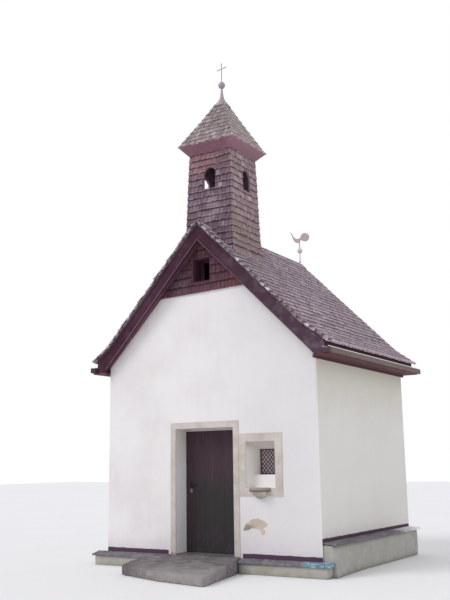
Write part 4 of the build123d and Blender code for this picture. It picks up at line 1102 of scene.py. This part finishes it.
class CHAPEL_OT_woodwork(bpy.types.Operator):
    """Finish the roof's timbers, barge boards, gutters, hatch and turret eave boards"""
    bl_idname = "chapel.woodwork"
    bl_label = "Woodwork"

    def execute(self, context):
        colours = context.scene.chapel_colours
        pitch = atan2(ROOF_SLOPE, 1)
        front_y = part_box("barge_front_right")[0].y
        rear_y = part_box("barge_rear_right")[0].y
        for out, side in SIDES[::-1]:
            barge = timber(
                f"stained_barge_board_{side}", colours.board, "#382333", "#5F4250", (16, 1, 1),
                (0, out * pitch, 0))
            barge.lay("#6A4A5C", 0.35, barge.blotches(0.25, 0.5, 0.7))
            # the right barge's lower run is greyed by weather and lightened as painted light
            greyed_and_lit = barge.mask(x=(0.5, 1.9, barge.cloud(0.4), 0.5))
            barge.lay("#5C4858", 0.5, greyed_and_lit)
            barge.lay("#75676E", 0.6, greyed_and_lit, barge.blotches(0.16, 0.5, 0.68))
            stained = barge.done()
            dress(stained, f"barge_front_{side}", f"barge_rear_{side}")
            feet = join(sprocket(out, front_y, VERGE_DRAW_IN, stained), sprocket(out, rear_y, 0.0, stained))
            place_piece(f"barge_sprockets_{side}", feet, "dark_timber")
        edging = timber("weathered_batten", "#73586A", "#54404E", "#8B7482", (10, 10, 10)).done()
        apex_z = ROOF_TOP_Z - BARGE_DROP - 0.033 / cos(pitch)
        foot_x = (apex_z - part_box("barge_front_left")[0].z) / ROOF_SLOPE - 0.03
        for out, side in SIDES:
            ends = [
                Vector((out * x, verge_y(x) + 0.030, apex_z - x * ROOF_SLOPE + 0.006)) for x in (0, foot_x)]
            rise = Vector((out * 0.014 * sin(pitch), 0, 0.014 * cos(pitch)))
            place_piece(
                f"barge_batten_{side}", bar(*ends, Vector((0, -0.012, 0)), rise, edging), "dark_timber")
        eave_wood = timber("stained_eave_board", "#6A464C", "#4A3036", "#7E5C5E", (1, 16, 1)).done()
        dress(eave_wood, "eave_boards")
        # a board on edge closes the eave behind each gutter
        for out, side in SIDES:
            ends = [
                Vector((out * FASCIA_X, y, FASCIA_LOW_Z))
                for y in (verge_y(2.2) + 0.066, VERGE_REAR_Y - 0.045)]
            fascia = bar(*ends, Vector((out * 0.022, 0, 0)), Vector((0, 0, FASCIA_HEIGHT)), eave_wood)
            place_piece(f"eave_fascia_{side}", fascia, "dark_timber")
        gutter = timber("weathered_gutter_log", "#82716C", "#5E4E4A", "#9C8C86", (1, 16, 1))
        low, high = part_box("gutter_right")
        gutter.lay("#4A3338", 0.8, y=(low.y + 0.10, low.y + 0.02))
        gutter.lay("#4A3A42", 0.7, x=(-2.2, -2.24))
        # painted highlight: a near-white line along the top of each gutter
        gutter.lay("#F0ECEE", 0.9, z=(high.z - 0.014, high.z - 0.010))
        dress(gutter.done(), "gutter_left", "gutter_right")
        dress(
            timber("sawn_roof_timber", "#6E4A54", "#50343E", "#86606A", (10, 10, 10)).done(), "wall_plates",
            "rafters_left", "rafters_right", "roof_boards_left", "roof_boards_right")
        dress(timber("dark_hatch_board", "#5A3A46", "#432A34", "#6C4A56", (1, 1, 14)).done(), "hatch_frame")
        red = timber("red_stained_eave_board", "#8E6674", "#77525F", "#A07A88", (10, 10, 1))
        # painted light: the turret's eave boards are lighter on the right side, and a little on the left
        red.lay("#B08A96", 0.6, x=(0.36, 0.58))
        red.lay("#A07A84", 0.5, x=(-0.40, -0.58))
        dress(red.done(), "turret_eave_boards")
        return {"FINISHED"}


class CHAPEL_OT_door(bpy.types.Operator):
    """Finish the door leaf, its frame and its ironwork"""
    bl_idname = "chapel.door"
    bl_label = "Door"

    def execute(self, context):
        colours = context.scene.chapel_colours
        leaf = timber("stained_door_planks", colours.door, "#36292F", "#524349", (1, 1, 18))
        cloud = leaf.cloud(0.3)
        leaf.lay("#3A3838", 0.9, x=(-0.50, -0.20, cloud, 0.2), z=(1.75, 1.35, cloud, 0.3))
        leaf.lay("#3B393C", 0.85, z=(0.8, 0.35, cloud, 0.3))
        leaf.lay("#4E4C54", 0.6, leaf.blotches(0.12, 0.45, 0.7), z=(0.75, 0.25))
        dress(leaf.done(), "door_leaf", "door_frame")
        low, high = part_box("door_leaf")
        head_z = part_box("front_wall_left")[1].z
        strip = planed("painted_head_strip", "#CDC0BE", "#B5A8A6", "#D8CECC", (14, 1, 1))
        ends = [Vector((x, low.y - 0.004, head_z - 0.036)) for x in (low.x + 0.02, high.x - 0.02)]
        head = bar(*ends, Vector((0, -0.022, 0)), Vector((0, 0, 0.036)), strip)
        place_piece("door_head_strip", head, "white_plaster")
        iron = Finish("worn_dark_iron", "#2E292D", 0.45, 0.6)
        plate_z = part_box("door_handles")[0].z
        iron.lay("#6A5F60", 0.8, z=(plate_z + 0.085, plate_z + 0.075))
        iron.lay("#B4AAA6", 0.6, z=[(plate_z + 0.080, plate_z + 0.072), (plate_z + 0.018, plate_z + 0.026)])
        dress(iron.done(iron.cloud(0.004), 0.0004), "door_handles")
        dress(metal("oiled_forged_iron", "#3A3237", "#52464A", 0.5, 0.8), "hinge_straps", "hinge_pins")
        dress(metal("dusty_wrought_iron", "#55454A", "#6E5E62", 0.7, 0.1), "window_lattice")
        low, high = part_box("window_lattice")
        pane = Finish("dusty_pane", "#D4C6CC", 0.5)
        pane.lay("#A2949A", 0.6, pane.blotches(0.05, 0.42, 0.62))
        pane.lay("#E6DADF", 0.6, pane.blotches(0.02, 0.5, 0.7))
        ends = [Vector((x, high.y + 0.0005, low.z + 0.002)) for x in (low.x + 0.002, high.x - 0.002)]
        glass = bar(*ends, Vector((0, 0.004, 0)), Vector((0, 0, high.z - low.z - 0.004)), pane.done())
        place_piece("window_pane", glass, "black_iron")
        return {"FINISHED"}


class CHAPEL_OT_metalwork(bpy.types.Operator):
    """Turn the finial, its ball and the weathercock's pole, and set up the cross"""
    bl_idname = "chapel.metalwork"
    bl_label = "Metalwork"

    def execute(self, context):
        # painted glare: the finial's and the cross's metal is lightened to how it looks in glare
        grey = metal("dulled_sheet_metal", "#A0959D", "#B3A9AF", 0.5, 0.3)
        low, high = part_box("finial")
        ball_z = low.z + 0.335
        cone = (
            (0, -0.115), (0.166, -0.118), (0.126, -0.062), (0.088, -0.012), (0.058, 0.035), (0.038, 0.090),
            (0.027, 0.150), (0.020, 0.220), (0.018, 0.272))
        profile = [(radius, low.z + rise) for radius, rise in cone] + ball(0.065, ball_z, 1.4, 15)
        profile += [(0.010, ball_z + 0.066), (0.007, high.z), (0, high.z)]
        place_piece("finial_turned", lathe(profile, (0, TURRET_Y), grey), "finial_metal", "finial")
        low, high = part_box("weathercock_pole")
        ball_z = low.z + 0.256
        profile = [(0, low.z), (0.020, low.z), (0.014, low.z + 0.05), (0.011, ball_z - 0.075)]
        profile += ball(0.056, ball_z, 1.2, 14)
        profile += [(0.005, ball_z + 0.058), (0.005, high.z), (0, high.z)]
        # painted glare: the pole is painted near white
        paint = metal("bleached_pole", "#D8CFD4", "#E4DCE0", 0.6, 0.0)
        pole = lathe(profile, ((low.x + high.x) / 2, (low.y + high.y) / 2), paint)
        place_piece("weathercock_pole_turned", pole, "finial_metal", "weathercock_pole")
        dress(grey, "cross")
        sheet = Finish("weathered_cock_sheet", "#CFB8C0", 0.6, 0.1)
        sheet.lay("#BDA6AE", 0.6, sheet.blotches(0.05, 0.45, 0.7))
        sheet.lay("#CFC6CA", 0.8, z=(high.z - 0.045, high.z - 0.055))
        dress(sheet.done(sheet.cloud(0.004), 0.0003), "weathercock")
        return {"FINISHED"}


class CHAPEL_OT_stage(bpy.types.Operator):
    """Set the floor, the light and the camera"""
    bl_idname = "chapel.stage"
    bl_label = "Stage"

    def execute(self, context):
        scene = context.scene
        stage = scene.chapel_stage
        mesh = bpy.data.meshes.new("studio_floor")
        corners = [(x * FLOOR_REACH, y * FLOOR_REACH, 0) for x, y in ((-1, -1), (1, -1), (1, 1), (-1, 1))]
        mesh.from_pydata(corners, [], [(0, 1, 2, 3)])
        floor = put("studio_floor", mesh)
        paint = Finish("pale_studio_floor", "#F4F3F2", 0.95)
        paint.lay("#F1F0EF", 0.5, paint.blotches(2.0, 0.4, 0.6))
        mesh.materials.append(paint.done())
        world = bpy.data.worlds.new("studio")
        scene.world = world
        world.use_nodes = True
        tree = world.node_tree
        tree.nodes.clear()
        rays = add(tree, "ShaderNodeLightPath").outputs
        seen = rays["Is Camera Ray"]
        for kind in ("Is Glossy Ray", "Is Transmission Ray"):
            seen = add(tree, "ShaderNodeMath", {0: seen, 1: rays[kind]}, operation="MAXIMUM").outputs[0]
        sky = add(tree, "ShaderNodeBackground", {"Color": linear("#F2F4FA"), "Strength": stage.sky})
        backdrop = add(tree, "ShaderNodeBackground", {"Color": (1, 1, 1, 1), "Strength": 1.0})
        mixed = add(tree, "ShaderNodeMixShader", {0: seen, 1: sky.outputs[0], 2: backdrop.outputs[0]})
        add(tree, "ShaderNodeOutputWorld", {"Surface": mixed.outputs[0]})
        lamp = bpy.data.lights.new("key", "SUN")
        lamp.energy = stage.key
        lamp.angle = KEY_ANGLE
        put("key", lamp).rotation_euler = KEY_TURN
        data = bpy.data.cameras.new("camera")
        data.sensor_fit = "VERTICAL"
        data.sensor_height = 36
        data.sensor_width = 36
        data.lens = stage.lens
        data.clip_end = 500
        camera = put("camera", data)
        level = Vector((cos(CAMERA_YAW), -sin(CAMERA_YAW), 0))
        ahead = Vector((sin(CAMERA_YAW), cos(CAMERA_YAW), 0)) * cos(CAMERA_PITCH)
        ahead.z = sin(CAMERA_PITCH)
        upright = level.cross(ahead)
        right = level * cos(CAMERA_ROLL) + upright * sin(CAMERA_ROLL)
        up = upright * cos(CAMERA_ROLL) - level * sin(CAMERA_ROLL)
        turned = Matrix((right, up, -ahead)).transposed().to_4x4()
        camera.matrix_world = Matrix.Translation(CAMERA_PLACE) @ turned
        scene.camera = camera
        scene.view_settings.view_transform = "Standard"
        return {"FINISHED"}


OPERATORS = (
    CHAPEL_OT_stage,
    CHAPEL_OT_masonry,
    CHAPEL_OT_woodwork,
    CHAPEL_OT_door,
    CHAPEL_OT_metalwork,
    CHAPEL_OT_gable_shingles,
    CHAPEL_OT_roof_shingles,
    CHAPEL_OT_turret_shingles,
    CHAPEL_OT_turret_roof,
)


class CHAPEL_PT_panel(bpy.types.Panel):
    bl_label = "Chapel"
    bl_idname = "CHAPEL_PT_panel"
    bl_space_type = "VIEW_3D"
    bl_region_type = "UI"
    bl_category = "Chapel"

    def draw(self, context):
        for kind in OPERATORS:
            self.layout.operator(kind.bl_idname)


GROUPS = (
    ("chapel_shingles", ChapelShingles),
    ("chapel_colours", ChapelColours),
    ("chapel_stage", ChapelStage),
)


def register():
    for name, group in GROUPS:
        bpy.utils.register_class(group)
        setattr(bpy.types.Scene, name, bpy.props.PointerProperty(type=group))
    for kind in OPERATORS + (CHAPEL_PT_panel,):
        bpy.utils.register_class(kind)


def unregister():
    for kind in (CHAPEL_PT_panel,) + OPERATORS[::-1]:
        bpy.utils.unregister_class(kind)
    for name, group in GROUPS[::-1]:
        delattr(bpy.types.Scene, name)
        bpy.utils.unregister_class(group)


def main():
    register()
    for kind in OPERATORS:
        group, name = kind.bl_idname.split(".")
        result = getattr(getattr(bpy.ops, group), name)()
        if result != {"FINISHED"}:
            raise RuntimeError(kind.bl_label + " did not finish")


if __name__ == "__main__":
    main()
